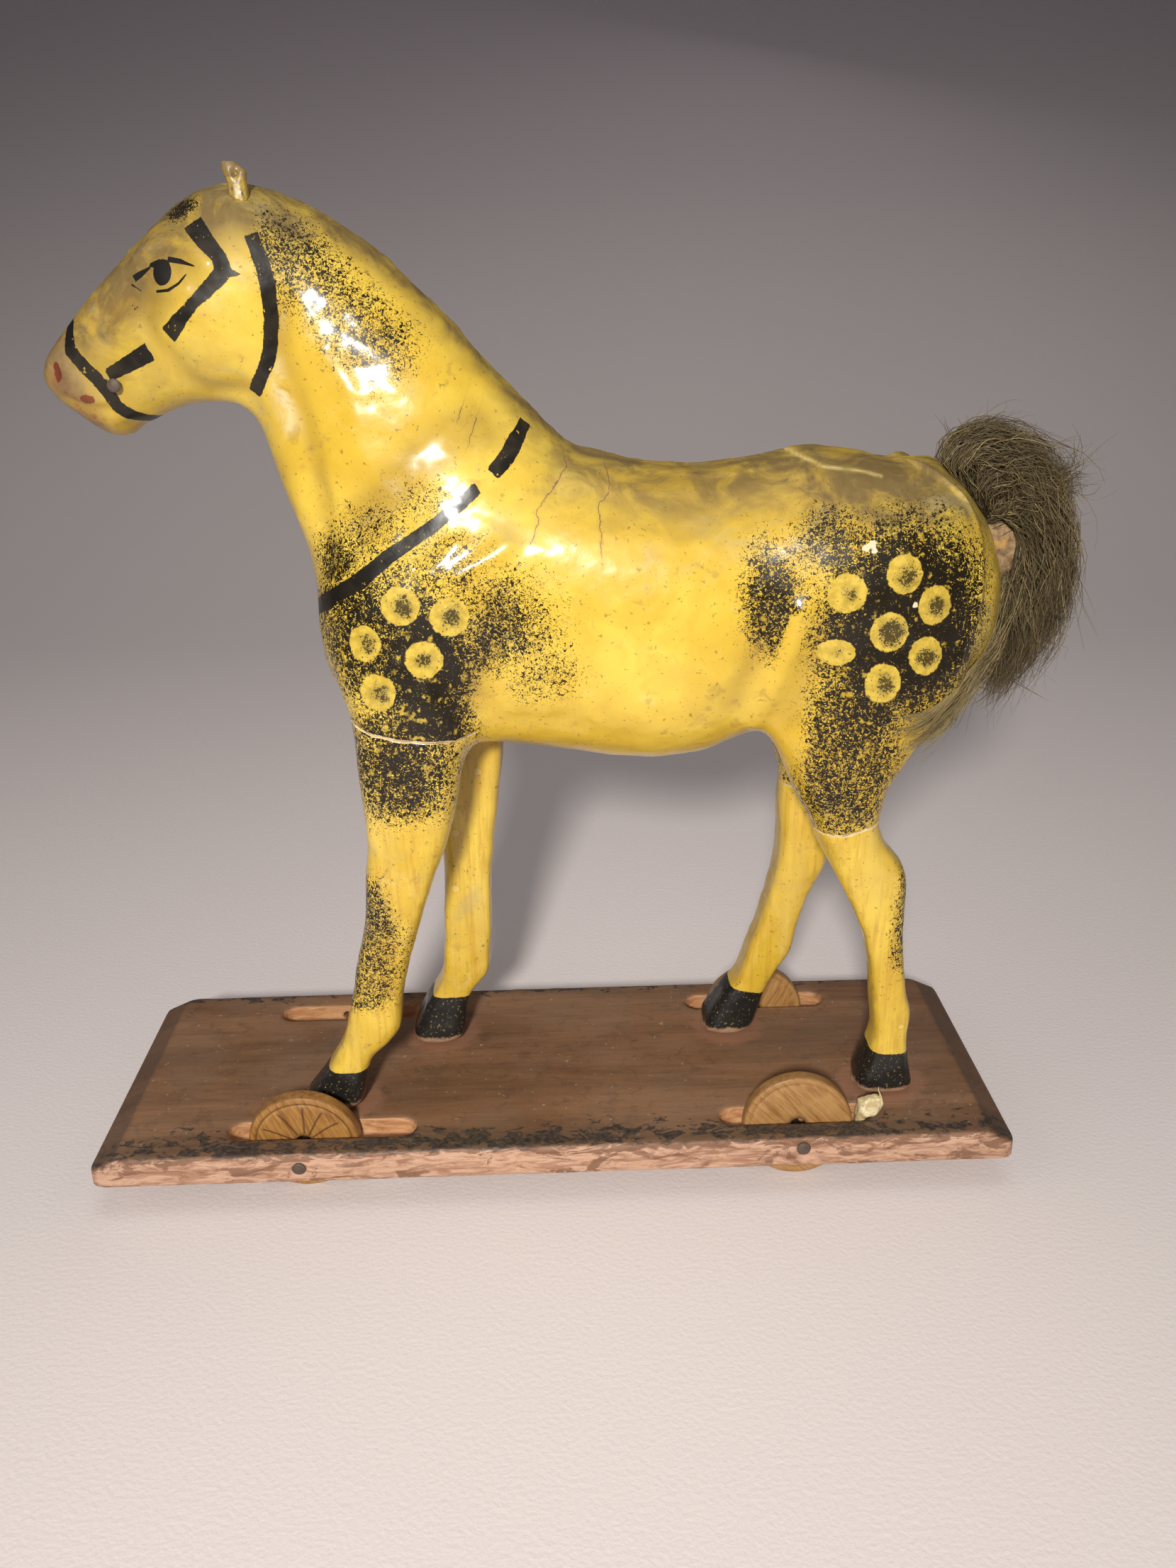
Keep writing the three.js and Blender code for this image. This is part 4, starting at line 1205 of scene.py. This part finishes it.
def long_axis(node):
    """(start at the head, unit direction, length) of a nail, from its CAD vertices."""
    co = np.unique(coords(nodes[node].data).round(3), axis=0)
    middle = co.mean(0)
    direction = np.linalg.svd(co - middle, full_matrices=False)[2][0]
    along = (co - middle) @ direction
    away = np.linalg.norm(co - middle - along[:, None] * direction, axis=1)
    widest = along[np.argmax(away)]
    if abs(widest - along.min()) > abs(widest - along.max()):
        direction, along = -direction, -along
    return middle + direction * along.min(), direction, np.ptp(along)


NAIL_RADIUS, HEAD_RADIUS, HEAD_HEIGHT = 0.9, 1.6, 0.75
TACK_FORWARD, TACK_UP = 1.2, 0.3  # the photo's tack sits this far off its CAD solid


def iron():
    p = Paint("nail_iron", Metallic=0.35)
    spots = p.noise(900, 4.0, 0.65)
    rust = p.ramp(p.noise(420, 4.0, 0.65), 0.50, 0.66)
    colour = p.over(p.mix(spots, (0.070, 0.052, 0.043), (0.160, 0.118, 0.092)),
                    (rust, 0.6, (0.095, 0.040, 0.020)))
    p.bump((spots, 0.5, 0.12), (rust, 0.3, 0.06))
    return p.out(Base_Color=colour, Roughness=p.ramp(spots, 0.3, 0.7, 0.55, 0.80))


def nail_mesh(node):
    """An axle nail with a hammered head and a drawn point."""
    start, direction, length = long_axis(node)
    profile = [(0, 0), (HEAD_RADIUS * 0.55, 0.04), (HEAD_RADIUS * 0.85, 0.14),
               (HEAD_RADIUS, 0.34), (HEAD_RADIUS * 0.97, HEAD_HEIGHT - 0.1),
               (HEAD_RADIUS * 0.8, HEAD_HEIGHT), (NAIL_RADIUS, HEAD_HEIGHT + 0.15),
               (NAIL_RADIUS, length - 3.2), (NAIL_RADIUS * 0.72, length - 1.6),
               (0.08, length - 0.02), (0, length)]
    mesh = lathe(profile, start, direction, segments=40)
    co = coords(mesh)
    push(co, normals(mesh), 0.05 * rough_noise(co, 0.9, 41))
    set_coords(mesh, co)
    return mesh


def tack_mesh(node):
    """A bit tack: a thin shank under a domed head."""
    low, high = box_mm(node)
    side = 1 if low[1] > 0 else -1
    inner = low[1] if side > 0 else high[1]
    deep = high[1] - low[1]
    r = 0.8 * (high[0] - low[0]) / 2
    start = ((low[0] + high[0]) / 2 - TACK_FORWARD, inner, (low[2] + high[2]) / 2 + TACK_UP)
    dome = [(r * math.cos(a), deep - 0.85 + 0.45 * math.sin(a))
            for a in np.linspace(0.2, math.pi / 2 - 0.12, 7)]
    profile = [(0, 0), (0.7, 0.05), (0.7, deep - 1.1), (r * 0.94, deep - 1.05), (r, deep - 0.85),
               *dome, (0, deep - 0.4)]
    return lathe(profile, start, (0, side, 0), segments=36)


def make_nails():
    """Axle nails, bit tacks, and the iron of the hoof nails that stay as they are."""
    material = iron()
    makers = {"axle_nail": nail_mesh, "bit_tack": tack_mesh}
    for node in sorted(nodes):
        for prefix, make in makers.items():
            if node.startswith(prefix):
                add_piece(node + "_turned", make(node), material, node)
        if node.startswith("hoof_nail"):
            nodes[node].data.materials.clear()
            nodes[node].data.materials.append(material)


WHEEL_RADIUS, WHEEL_HALF, BORE_RADIUS = 13.0, 1.8, 2.0
GROOVE_RADIUS = 11.25
SPOKES = 12
# How far each wheel's grain is turned.
WHEEL_GRAIN = {"front_left": 0.35, "rear_left": 0.75, "rear_right": -0.4}


def wheel_wood(name, spoked):
    p = Paint(name, Coat_Roughness=0.25, Coat_Weight=0.25 if spoked else 0.12)
    across = p.node("CombineXYZ", {"X": p.attr("across"), "Y": p.attr("along"),
                                   "Z": p.attr("deep")}).outputs[0]
    stretch = p.node("Mapping", {"Vector": across, "Scale": (1, 0.09, 1)}).outputs[0]
    grain = p.noise(1.1, 5.0, 0.65, 0.5, at=stretch)
    fine = p.noise(4.5, 4.0, 0.65, 0.3, at=stretch)
    cloud = p.noise(0.16, 3.0, 0.5, 0.4, at=across)
    if spoked:
        dark, light, clouded = (0.22, 0.090, 0.020), (0.44, 0.215, 0.05), (0.50, 0.27, 0.07)
    else:
        dark, light, clouded = (0.27, 0.125, 0.036), (0.43, 0.235, 0.075), (0.52, 0.30, 0.11)
    colour = p.over(p.mix(p.ramp(grain, 0.34, 0.66), dark, light),
                    (p.ramp(cloud, 0.40, 0.68), 0.45, clouded),
                    (p.ramp(fine, 0.62, 0.70), 0.5, (0.13, 0.055, 0.018)))
    if spoked:
        lines = p.ramp(p.plus(p.attr("spoke"), p.centred(fine, 0.25)), 0.34, 0.16)
        drawn = p.times(lines, p.ramp(fine, 0.25, 0.42, 0.35, 1.0))
        colour = p.over(colour, (drawn, 0.8, (0.085, 0.038, 0.012)))
    radius = p.attr("radius")
    colour = p.over(colour,
                    (p.ramp(radius, 12.3, 12.9), 0.35, (0.16, 0.075, 0.028)),
                    (p.ramp(radius, 3.2, 2.2), 0.6, (0.07, 0.035, 0.02)))
    p.bump((grain, 0.4, 0.25), (fine, 0.35, 0.10))
    return p.out(Base_Color=colour, Roughness=p.ramp(grain, 0.3, 0.7, 0.40, 0.58))


def wheel_profile():
    """Half of a wheel's section and its mirror image, with a turned groove near the rim."""
    half, groove = WHEEL_HALF, GROOVE_RADIUS
    face = [(BORE_RADIUS, half - 0.2), (BORE_RADIUS + 0.2, half), (4.0, half), (7.5, half - 0.02),
            (groove - 0.45, half), (groove - 0.25, half - 0.10), (groove, half - 0.16),
            (groove + 0.25, half - 0.10), (groove + 0.45, half), (12.5, half - 0.04),
            (12.8, half - 0.18), (12.95, half - 0.5)]
    rim = [(WHEEL_RADIUS, z) for z in (half - 1.1, 0, 1.1 - half)]
    return face + rim + [(r, -z) for r, z in reversed(face)]


def wheel_axes(node):
    """A wheel's middle, and its directions: sideways, up and along its axis."""
    co = coords(nodes[node].data)
    middle = (co.min(0) + co.max(0)) / 2
    flat = np.linalg.svd(np.unique(co.round(3), axis=0) - middle, full_matrices=False)[2]
    axis = flat[2] * (1 if flat[2][1] > 0 else -1)
    up = np.cross(axis, [1, 0, 0])
    up /= np.linalg.norm(up)
    return middle, np.cross(up, axis), up, axis


def spoke_distance(u, v):
    """Distance to the hand drawn spokes and to the rim's groove."""
    radius = np.hypot(u, v)
    angle = np.arctan2(v, u) * SPOKES / (2 * math.pi)
    bent = angle + 0.16 * np.sin(np.round(angle) * 4.7) + 0.05 * np.sin(radius * 0.5 + angle)
    off = np.abs(bent - np.round(bent)) * 2 * math.pi / SPOKES * radius
    off = np.where((radius < 10.7) & (radius > 2.6), off, FAR)
    return np.minimum(np.minimum(off, np.abs(radius - GROOVE_RADIUS) + 0.1), FAR)


def make_wheels():
    """Three thin turned wheels; the front one still has its varnish and drawn spokes."""
    for index, (body, turned) in enumerate(WHEEL_GRAIN.items()):
        spoked = body == "front_left"
        node = "wheel_" + body
        middle, side, up, axis = wheel_axes(node)
        mesh = lathe(wheel_profile(), middle, axis, segments=120, closed=True)
        co = coords(mesh)
        u, v, deep = (co - middle) @ side, (co - middle) @ up, (co - middle) @ axis
        push(co, normals(mesh), 0.05 * rough_noise(co, 3.0, 50 + index))
        set_coords(mesh, co)
        set_attributes(mesh, across=u * math.cos(turned) - v * math.sin(turned),
                       along=u * math.sin(turned) + v * math.cos(turned), deep=deep,
                       radius=np.hypot(u, v))
        for _ in range(2 if spoked else 0):  # finer faces for the drawn lines
            mesh = subdivide(mesh, "SIMPLE")
        rel = coords(mesh) - middle
        set_attributes(mesh, spoke=spoke_distance(rel @ side, rel @ up))
        material = wheel_wood("wheel_wood_" + body, spoked)
        add_piece(node + "_turned", mesh, material, node, body + "_wheel")


# ---------------------------------------------------------------- small parts

def small_piece(node, voxel, material, shape, passes=4):
    """A CAD solid remeshed finely, softened, shaped and given a material."""
    mesh = remesh(joined_nodes([node], grow=0.05), voxel)
    set_coords(mesh, relax(coords(mesh), edge_array(mesh), passes))
    set_coords(mesh, shape(coords(mesh), normals(mesh)))
    add_piece(node + "_detailed", mesh, material, node)
    return mesh


def roughened(co, n, amount, cell, seed):
    return co + n * (amount * rough_noise(co, cell, seed))[:, None]


def ear_paint():
    p = Paint("ear_paint", Coat_Roughness=0.3, Coat_Weight=0.15)
    mottle = p.noise(500, 4.0, 0.6)
    dirt = p.ramp(p.noise(700, 3.0, 0.6), 0.56, 0.64)
    colour = p.over(p.mix(p.ramp(mottle, 0.35, 0.7), (0.44, 0.30, 0.050), (0.25, 0.165, 0.050)),
                    (dirt, 1.0, (0.13, 0.085, 0.035)),
                    # painted shade in the left ear's curl, and the stump's broken top
                    (p.attr("hollow"), 0.75, (0.17, 0.11, 0.045)),
                    (p.attr("edge"), 0.6, (0.22, 0.13, 0.06)))
    p.bump((mottle, 0.4, 0.2))
    return p.out(Base_Color=colour, Roughness=p.ramp(mottle, 0.3, 0.7, 0.35, 0.55))


def up_ear(co):
    """0 at the foot of an ear, 1 at its tip."""
    return (co[:, 2] - co[:, 2].min()) / np.ptp(co[:, 2])


def left_ear(co, n):
    """Swells the tip into the rolled end that the left ear has, with a pit facing out."""
    t = up_ear(co)
    levels = np.linspace(0, 1, 12)
    slices = [co[np.abs(t - level) < 0.09].mean(0) for level in levels]
    axis = np.stack([np.interp(t, levels, [s[k] for s in slices]) for k in range(2)], 1)
    swell = 0.78 + 0.22 * np.exp(-((t - 0.78) / 0.2) ** 2)
    co[:, :2] = axis + (co[:, :2] - axis) * swell[:, None]
    near_tip = co[np.abs(t - 0.76) < 0.1]
    pit = near_tip[np.argmin(near_tip[:, 1])]
    push(co, n, -0.75 * np.exp(-(np.linalg.norm((co - pit) / [0.75, 1.5, 0.95], axis=1)) ** 2))
    return roughened(co, n, 0.08, 1.5, 61)


def ear_stump(co, n):
    return roughened(co, n, 0.25, 1.0, 62)


def make_ears():
    material = ear_paint()
    for node, shape in (("ear_left", left_ear), ("ear_right_stump", ear_stump)):
        mesh = small_piece(node, 0.26, material, shape, passes=5)
        n, t = normals(mesh), up_ear(coords(mesh))
        # painted shade on the inner face of the left ear's curl
        curl_shade = step(-n[:, 1], 0.3, 0.8) * step(t, 0.55, 0.7) * step(t, 1.0, 0.93)
        broken = step(n[:, 2], 0.4, 0.8)
        set_attributes(mesh, hollow=curl_shade if node == "ear_left" else broken,
                       edge=np.maximum(step(t, 0.86, 0.97), 0.7 * step(t, 0.12, 0.0)))


# The lump of composition that shows at the rump is taller than the plug's round stem.
PLUG_MIDDLE = np.array([93.0, 0, 141.0])
PLUG_STRETCH, PLUG_RISE = (0.82, 1, 1.6), np.array([0, 0, 3.8])
PLUG_SHOWS = np.array([5.4, 7.6])  # half its length and height


def plug_shape(co, n):
    return (roughened(co, n, 0.45, 2.0, 63) - PLUG_MIDDLE) * PLUG_STRETCH + PLUG_MIDDLE + PLUG_RISE


def make_plug():
    p = Paint("plug_composition", Roughness=0.85)
    grain = p.noise(420, 5.0, 0.7)
    patch = p.ramp(p.noise(160, 3.0, 0.6), 0.52, 0.66)
    pits = p.ramp(p.noise(700, 3.0, 0.6), 0.66, 0.72)
    colour = p.over(p.mix(p.ramp(grain, 0.3, 0.7), (0.17, 0.095, 0.045), (0.44, 0.29, 0.15)),
                    (patch, 0.75, (0.62, 0.36, 0.09)),
                    (pits, 1.0, (0.10, 0.06, 0.035)))
    p.bump((grain, 0.8, 0.5), (patch, 0.4, 0.3))
    small_piece("tail_plug", 0.32, p.out(Base_Color=colour), plug_shape)


def wax_material():
    p = Paint("wax", Roughness=0.42, Subsurface_Weight=0.25, Subsurface_Scale=0.002)
    grain = p.noise(500, 4.0, 0.6)
    dirt = p.ramp(p.noise(800, 3.0, 0.6), 0.64, 0.72)
    colour = p.over(p.mix(p.ramp(grain, 0.35, 0.7), (0.52, 0.40, 0.19), (0.80, 0.70, 0.44)),
                    (dirt, 1.0, (0.22, 0.14, 0.06)))
    p.bump((grain, 0.6, 0.3))
    return p.out(Base_Color=colour)


def wax_shape(co, n):
    return roughened(co, n, 0.30, 1.4, 64)


def tube_faces(first, rings, sides):
    """Faces of a tube of rings of vertices, with its two ends."""
    faces = []
    for i in range(rings - 1):
        for k in range(sides):
            j = (k + 1) % sides
            a, b = first + i * sides, first + (i + 1) * sides
            faces.append((a + k, a + j, b + j, b + k))
    faces.append(tuple(first + k for k in reversed(range(sides))))
    faces.append(tuple(first + (rings - 1) * sides + k for k in range(sides)))
    return faces


# Levels of the wax fin: height, half its depth and half its thickness there.
FIN_LEVELS = [(17.2, 1.6, 0.45), (18.6, 1.5, 0.35), (20.0, 1.1, 0.26), (21.4, 0.55, 0.18),
              (22.3, 0.12, 0.10)]
FIN_SIDES = 12


def make_wax():
    """The lump of old wax in the rear slot, with a thin fin standing up at its right."""
    material = wax_material()
    node = "wax_lump_rear_left"
    small_piece(node, 0.22, material, wax_shape)
    low, high = box_mm(node)
    y = (low[1] + high[1]) / 2
    verts = []
    for i, (z, deep, thick) in enumerate(FIN_LEVELS):
        x = high[0] - 0.9 + 0.5 * math.sin(i * 1.3)
        for a in np.arange(FIN_SIDES) * 2 * math.pi / FIN_SIDES:
            verts.append((x + thick * math.cos(a), y + deep * math.sin(a),
                          z + 0.1 * math.sin(3 * a)))
    mesh = mesh_from("fin", verts, tube_faces(0, len(FIN_LEVELS), FIN_SIDES))
    add_piece("wax_fin", mesh, material)


# ---------------------------------------------------------------- tail hair

# Locks of the tail: stations along each (x, y, z, half spread in x-z, half spread in y), and
# how many strands it has.
TOP_LOCKS = [
    ([(92, 0, 151, 2.5, 3.5), (87.5, 0, 158.5, 3, 5), (84.8, 0, 164, 3.2, 6),
      (88.5, 0, 167.2, 3.4, 7), (95, 0, 166.6, 4.2, 8), (101.5, 0, 162.8, 4.8, 8.5),
      (105, 0, 156, 5.5, 9)], 800),
    ([(92, 0, 151, 2, 3), (90.5, 0, 158, 3.2, 6), (94.5, 0, 162, 4, 7.5), (99.5, 0, 160, 4.5, 8),
      (102, 0, 154, 5, 8.5), (101, 0, 147, 4.5, 8)], 650),
    ([(89.5, 0, 156, 3, 5), (90.5, -1, 162, 3.2, 6.5), (94.5, -2, 163.5, 3.8, 7.5),
      (99, -2, 161, 4.2, 7.5), (101.5, -2, 154.5, 4.5, 8)], 520),
    ([(92, 0, 150, 2.5, 3.5), (97, 0, 154, 4, 6), (102, 0, 157, 4.2, 7.5),
      (107, 0, 159.3, 3.2, 6.5), (111.2, 0, 161.8, 1.8, 4.5)], 420),
]
FALL_LOCKS = [
    ([(95, 0, 156, 4, 6), (101, 0, 158.5, 5.5, 8), (106, 0, 150, 4.6, 9), (107.3, 0, 141, 4.2, 9.5),
      (106.8, 0, 131, 4.0, 9), (104.5, 0, 121, 3.6, 7.5), (100.5, 0, 113.5, 2.4, 5)], 950),
    ([(93, 0, 150, 2.5, 4), (98, 0, 149, 4, 7), (101, 0, 141, 4.8, 8.5), (101, 0, 132, 4.8, 8.5),
      (100.5, 0, 123, 3.8, 7.5), (99, 0, 115.5, 2.6, 5.5), (97, 0, 109.5, 1.5, 3.5)], 900),
]
WISPS = [
    ([(98.5, -2, 142, 3, 5), (97.5, -4, 133, 3.4, 4.5), (92.5, -8, 124, 2.2, 3),
      (87, -13, 119.5, 1.6, 2.2), (80.5, -19.5, 116, 1.3, 1.4), (74.5, -23, 112.6, 1.4, 0.8),
      (68, -24.4, 111.8, 2.4, 0.6)], 110),
    ([(98, -2, 134, 3, 4.5), (94.5, -6, 123, 2.6, 3.2), (89, -10, 116, 1.8, 2.2),
      (83, -15.5, 110.5, 1.4, 1.4), (77.5, -20, 108.2, 1.6, 1.0), (71.5, -22.4, 107.6, 2.2, 0.8)],
     80),
]
STRAY_HAIRS = 420
STRAND_RADIUS = 0.085
STRAND_POINTS = 12
STRAND_SIDES = 3
SKIN_GAP = 0.25  # between the hair and the horse


def spline(points, t):
    """Catmull-Rom through rows of points at parameters t from 0 to 1."""
    p = np.vstack([2 * points[0] - points[1], points, 2 * points[-1] - points[-2]])
    s = np.clip(t, 0, 1) * (len(points) - 1)
    i = np.minimum(s.astype(int), len(points) - 2)
    f = (s - i)[:, None]
    a, b, c, d = p[i], p[i + 1], p[i + 2], p[i + 3]
    return 0.5 * (2 * b + (c - a) * f + (2 * a - 5 * b + 4 * c - d) * f**2
                  + (3 * b - a - 3 * c + d) * f**3)


def unit_rows(rows):
    return rows / np.maximum(np.linalg.norm(rows, axis=1), 1e-9)[:, None]


def tube(path, radii):
    """Rings of a thin tube along a path."""
    ahead = unit_rows(np.gradient(path, axis=0))
    side = unit_rows(np.cross(ahead, [0.31, 0.83, 0.46]))
    up = np.cross(side, ahead)
    a = np.arange(STRAND_SIDES) * 2 * math.pi / STRAND_SIDES
    ring = np.cos(a)[None, :, None] * side[:, None] + np.sin(a)[None, :, None] * up[:, None]
    return (path[:, None] + ring * radii[:, None, None]).reshape(-1, 3)


def strand_along(rng, stations, wisp):
    """One hair of a lock: it keeps its place across the lock, waves and frays towards its tip."""
    start, stop = rng.uniform(0, 0.45), rng.uniform(0.85 if wisp else 0.6, 1.0)
    t = np.linspace(start, max(stop, start + 0.25), STRAND_POINTS)
    at = spline(stations, t)
    ahead = unit_rows(np.gradient(at[:, :3], axis=0))
    across = unit_rows(np.cross(ahead, [0, 1, 0]))
    r, a = math.sqrt(rng.uniform(0.02, 1)), rng.uniform(0, 2 * math.pi)
    phase = rng.uniform(0, 6.28, 4)
    wave = 0.30 * np.sin(t * 6 + phase[0]) + 0.24 * np.sin(t * 18 + phase[1])
    sway = 0.26 * np.sin(t * 7 + phase[2]) + 0.12 * np.sin(t * 17 + phase[3])
    path = at[:, :3] + across * (at[:, 3] * (r * math.cos(a) + wave))[:, None]
    path[:, 1] += at[:, 4] * (r * math.sin(a) + sway)
    fray = rng.normal(0, 1, 3) * (3.6 if rng.random() < 0.22 else 1.1)
    path += fray * (np.linspace(0, 1, len(t)) ** 2)[:, None]
    # The tone holds painted light: wisps and strands towards the outside of a lock are lighter, those
    # deep inside darker as painted shade, on a random tone per hair.
    return path, np.clip(rng.beta(1.5, 3.0) + 0.25 * (r - 0.6) + 0.5 * wisp, 0, 1)


def stray_hair(rng):
    """A short bent hair that stands off the outside of the mass."""
    locks = TOP_LOCKS + FALL_LOCKS
    stations = np.array(locks[rng.integers(len(locks))][0], float)
    at = spline(stations, np.array([rng.uniform(0.3, 0.98)]))[0]
    out = rng.normal(0, 1, 3) * [1, 0.8, 1]
    out /= np.linalg.norm(out)
    bend = np.cross(out, rng.normal(0, 1, 3))
    s = np.linspace(0, 1, STRAND_POINTS)[:, None]
    length = rng.uniform(5, 11)
    foot = at[:3] + out * at[3] * 0.5
    return foot + out * s * length * 0.8 + bend * s**2 * length * 0.35, 0.55


def keep_off_horse(path, horse_tree):
    """Pushes hair points out of the horse, and off the side of the plug that shows."""
    middle = (PLUG_MIDDLE + PLUG_RISE)[[0, 2]]
    rel = (path[:, [0, 2]] - middle) / PLUG_SHOWS
    far = np.maximum(np.linalg.norm(rel, axis=1), 1e-3)
    covers = (far < 1) & (path[:, 1] < 3.5)
    moved = rel / far[:, None] * PLUG_SHOWS + middle
    path[covers] = np.stack([moved[covers, 0], path[covers, 1], moved[covers, 1]], 1)
    for i, point in enumerate(path):
        hit, normal, _, _ = horse_tree.find_nearest(Vector(point) * MM, 0.02)
        if hit is None:
            continue
        gap = (Vector(point) * MM - hit).dot(normal) / MM
        if gap < SKIN_GAP:
            path[i] = point + np.array(normal) * (SKIN_GAP - gap)
    return path


def hair_mesh(name, strands, rng, horse_tree):
    verts, faces, shades = [], [], []
    in_strand = STRAND_SIDES * STRAND_POINTS
    for k, (path, shade) in enumerate(strands):
        path = keep_off_horse(path, horse_tree)
        taper = 1 - 0.8 * np.linspace(0, 1, len(path)) ** 3
        verts.append(tube(path, STRAND_RADIUS * (0.7 + 0.5 * rng.random()) * taper))
        faces += tube_faces(in_strand * k, STRAND_POINTS, STRAND_SIDES)
        shades.append(np.full(in_strand, shade))
    mesh = mesh_from(name, np.vstack(verts), faces)
    set_attributes(mesh, shade=np.concatenate(shades))
    return mesh


def hair_material():
    p = Paint("tail_hair", Roughness=0.55, Specular_IOR_Level=0.35)
    # each strand's tone with its painted light and shade, plus a slow noise
    tone = p.plus(p.attr("shade"), p.centred(p.noise(170, 3.0, 0.6, 0.5), 0.4))
    dust = p.noise(900)
    dark = p.mix(p.ramp(tone, 0.0, 0.55), (0.045, 0.031, 0.014), (0.150, 0.110, 0.050))
    colour = p.over(dark,
                    (p.ramp(tone, 0.60, 0.95), 1.0, (0.38, 0.29, 0.13)),
                    (p.ramp(dust, 0.55, 0.7), 0.3, (0.24, 0.20, 0.14)))
    p.bump((dust, 0.2, 0.05))
    return p.out(Base_Color=colour)


def make_hair(horse_tree):
    rng = np.random.default_rng(7)
    material = hair_material()
    for name, locks, wisps, strays in (("tail_hair_top", TOP_LOCKS, [], STRAY_HAIRS),
                                       ("tail_hair_fall", FALL_LOCKS, WISPS, 0)):
        strands = [strand_along(rng, np.array(stations, float), wisp)
                   for wisp, group in ((False, locks), (True, wisps))
                   for stations, count in group for _ in range(count)]
        strands += [stray_hair(rng) for _ in range(strays)]
        mesh = hair_mesh(name, strands, rng, horse_tree)
        add_piece(name, mesh, material, "tail_hair")


# ---------------------------------------------------------------- stage and finish

STAGE_HALF_WIDTH, STAGE_NEAR, STAGE_TOP = 6.0, -5.0, 3.6
CURVE_START, CURVE_RADIUS = 0.45, 0.9


def make_stage():
    """A pale floor that curves up into a backdrop, with painted shade that darkens it towards its top."""
    line = [(STAGE_NEAR, 0.0), (CURVE_START, 0.0)]
    line += [(CURVE_START + CURVE_RADIUS * math.sin(a), CURVE_RADIUS * (1 - math.cos(a)))
             for a in np.linspace(0, math.pi / 2, 24)[1:]]
    line.append((CURVE_START + CURVE_RADIUS, STAGE_TOP))
    verts = [(x / MM, y / MM, z / MM) for y, z in line for x in (-STAGE_HALF_WIDTH, STAGE_HALF_WIDTH)]
    faces = [(2 * i, 2 * i + 1, 2 * i + 3, 2 * i + 2) for i in range(len(line) - 1)]
    floor = add_object("stage_floor", mesh_from("stage_floor", verts, faces))
    p = Paint("stage_paper", Roughness=0.9)
    p.bump((p.noise(900), 0.35, 0.35))
    pale = p.mix(p.noise(3, 3.0), (0.78, 0.705, 0.69), (0.84, 0.765, 0.755))
    # painted shade: darker and greyer up the backdrop
    colour = p.mix(p.ramp(p.height(), 0.02, 0.5), pale, (0.40, 0.352, 0.388))
    floor.data.materials.append(p.out(Base_Color=colour))


def surface_tree(meshes):
    whole = bmesh.new()
    for mesh in meshes:
        whole.from_mesh(mesh)
    tree = BVHTree.FromBMesh(whole)
    whole.free()
    return tree


make_camera()
make_lights()
horse_meshes = make_horse()
make_ears()
make_board()
make_nails()
make_wheels()
make_plug()
make_wax()
make_hair(surface_tree(horse_meshes))
make_stage()
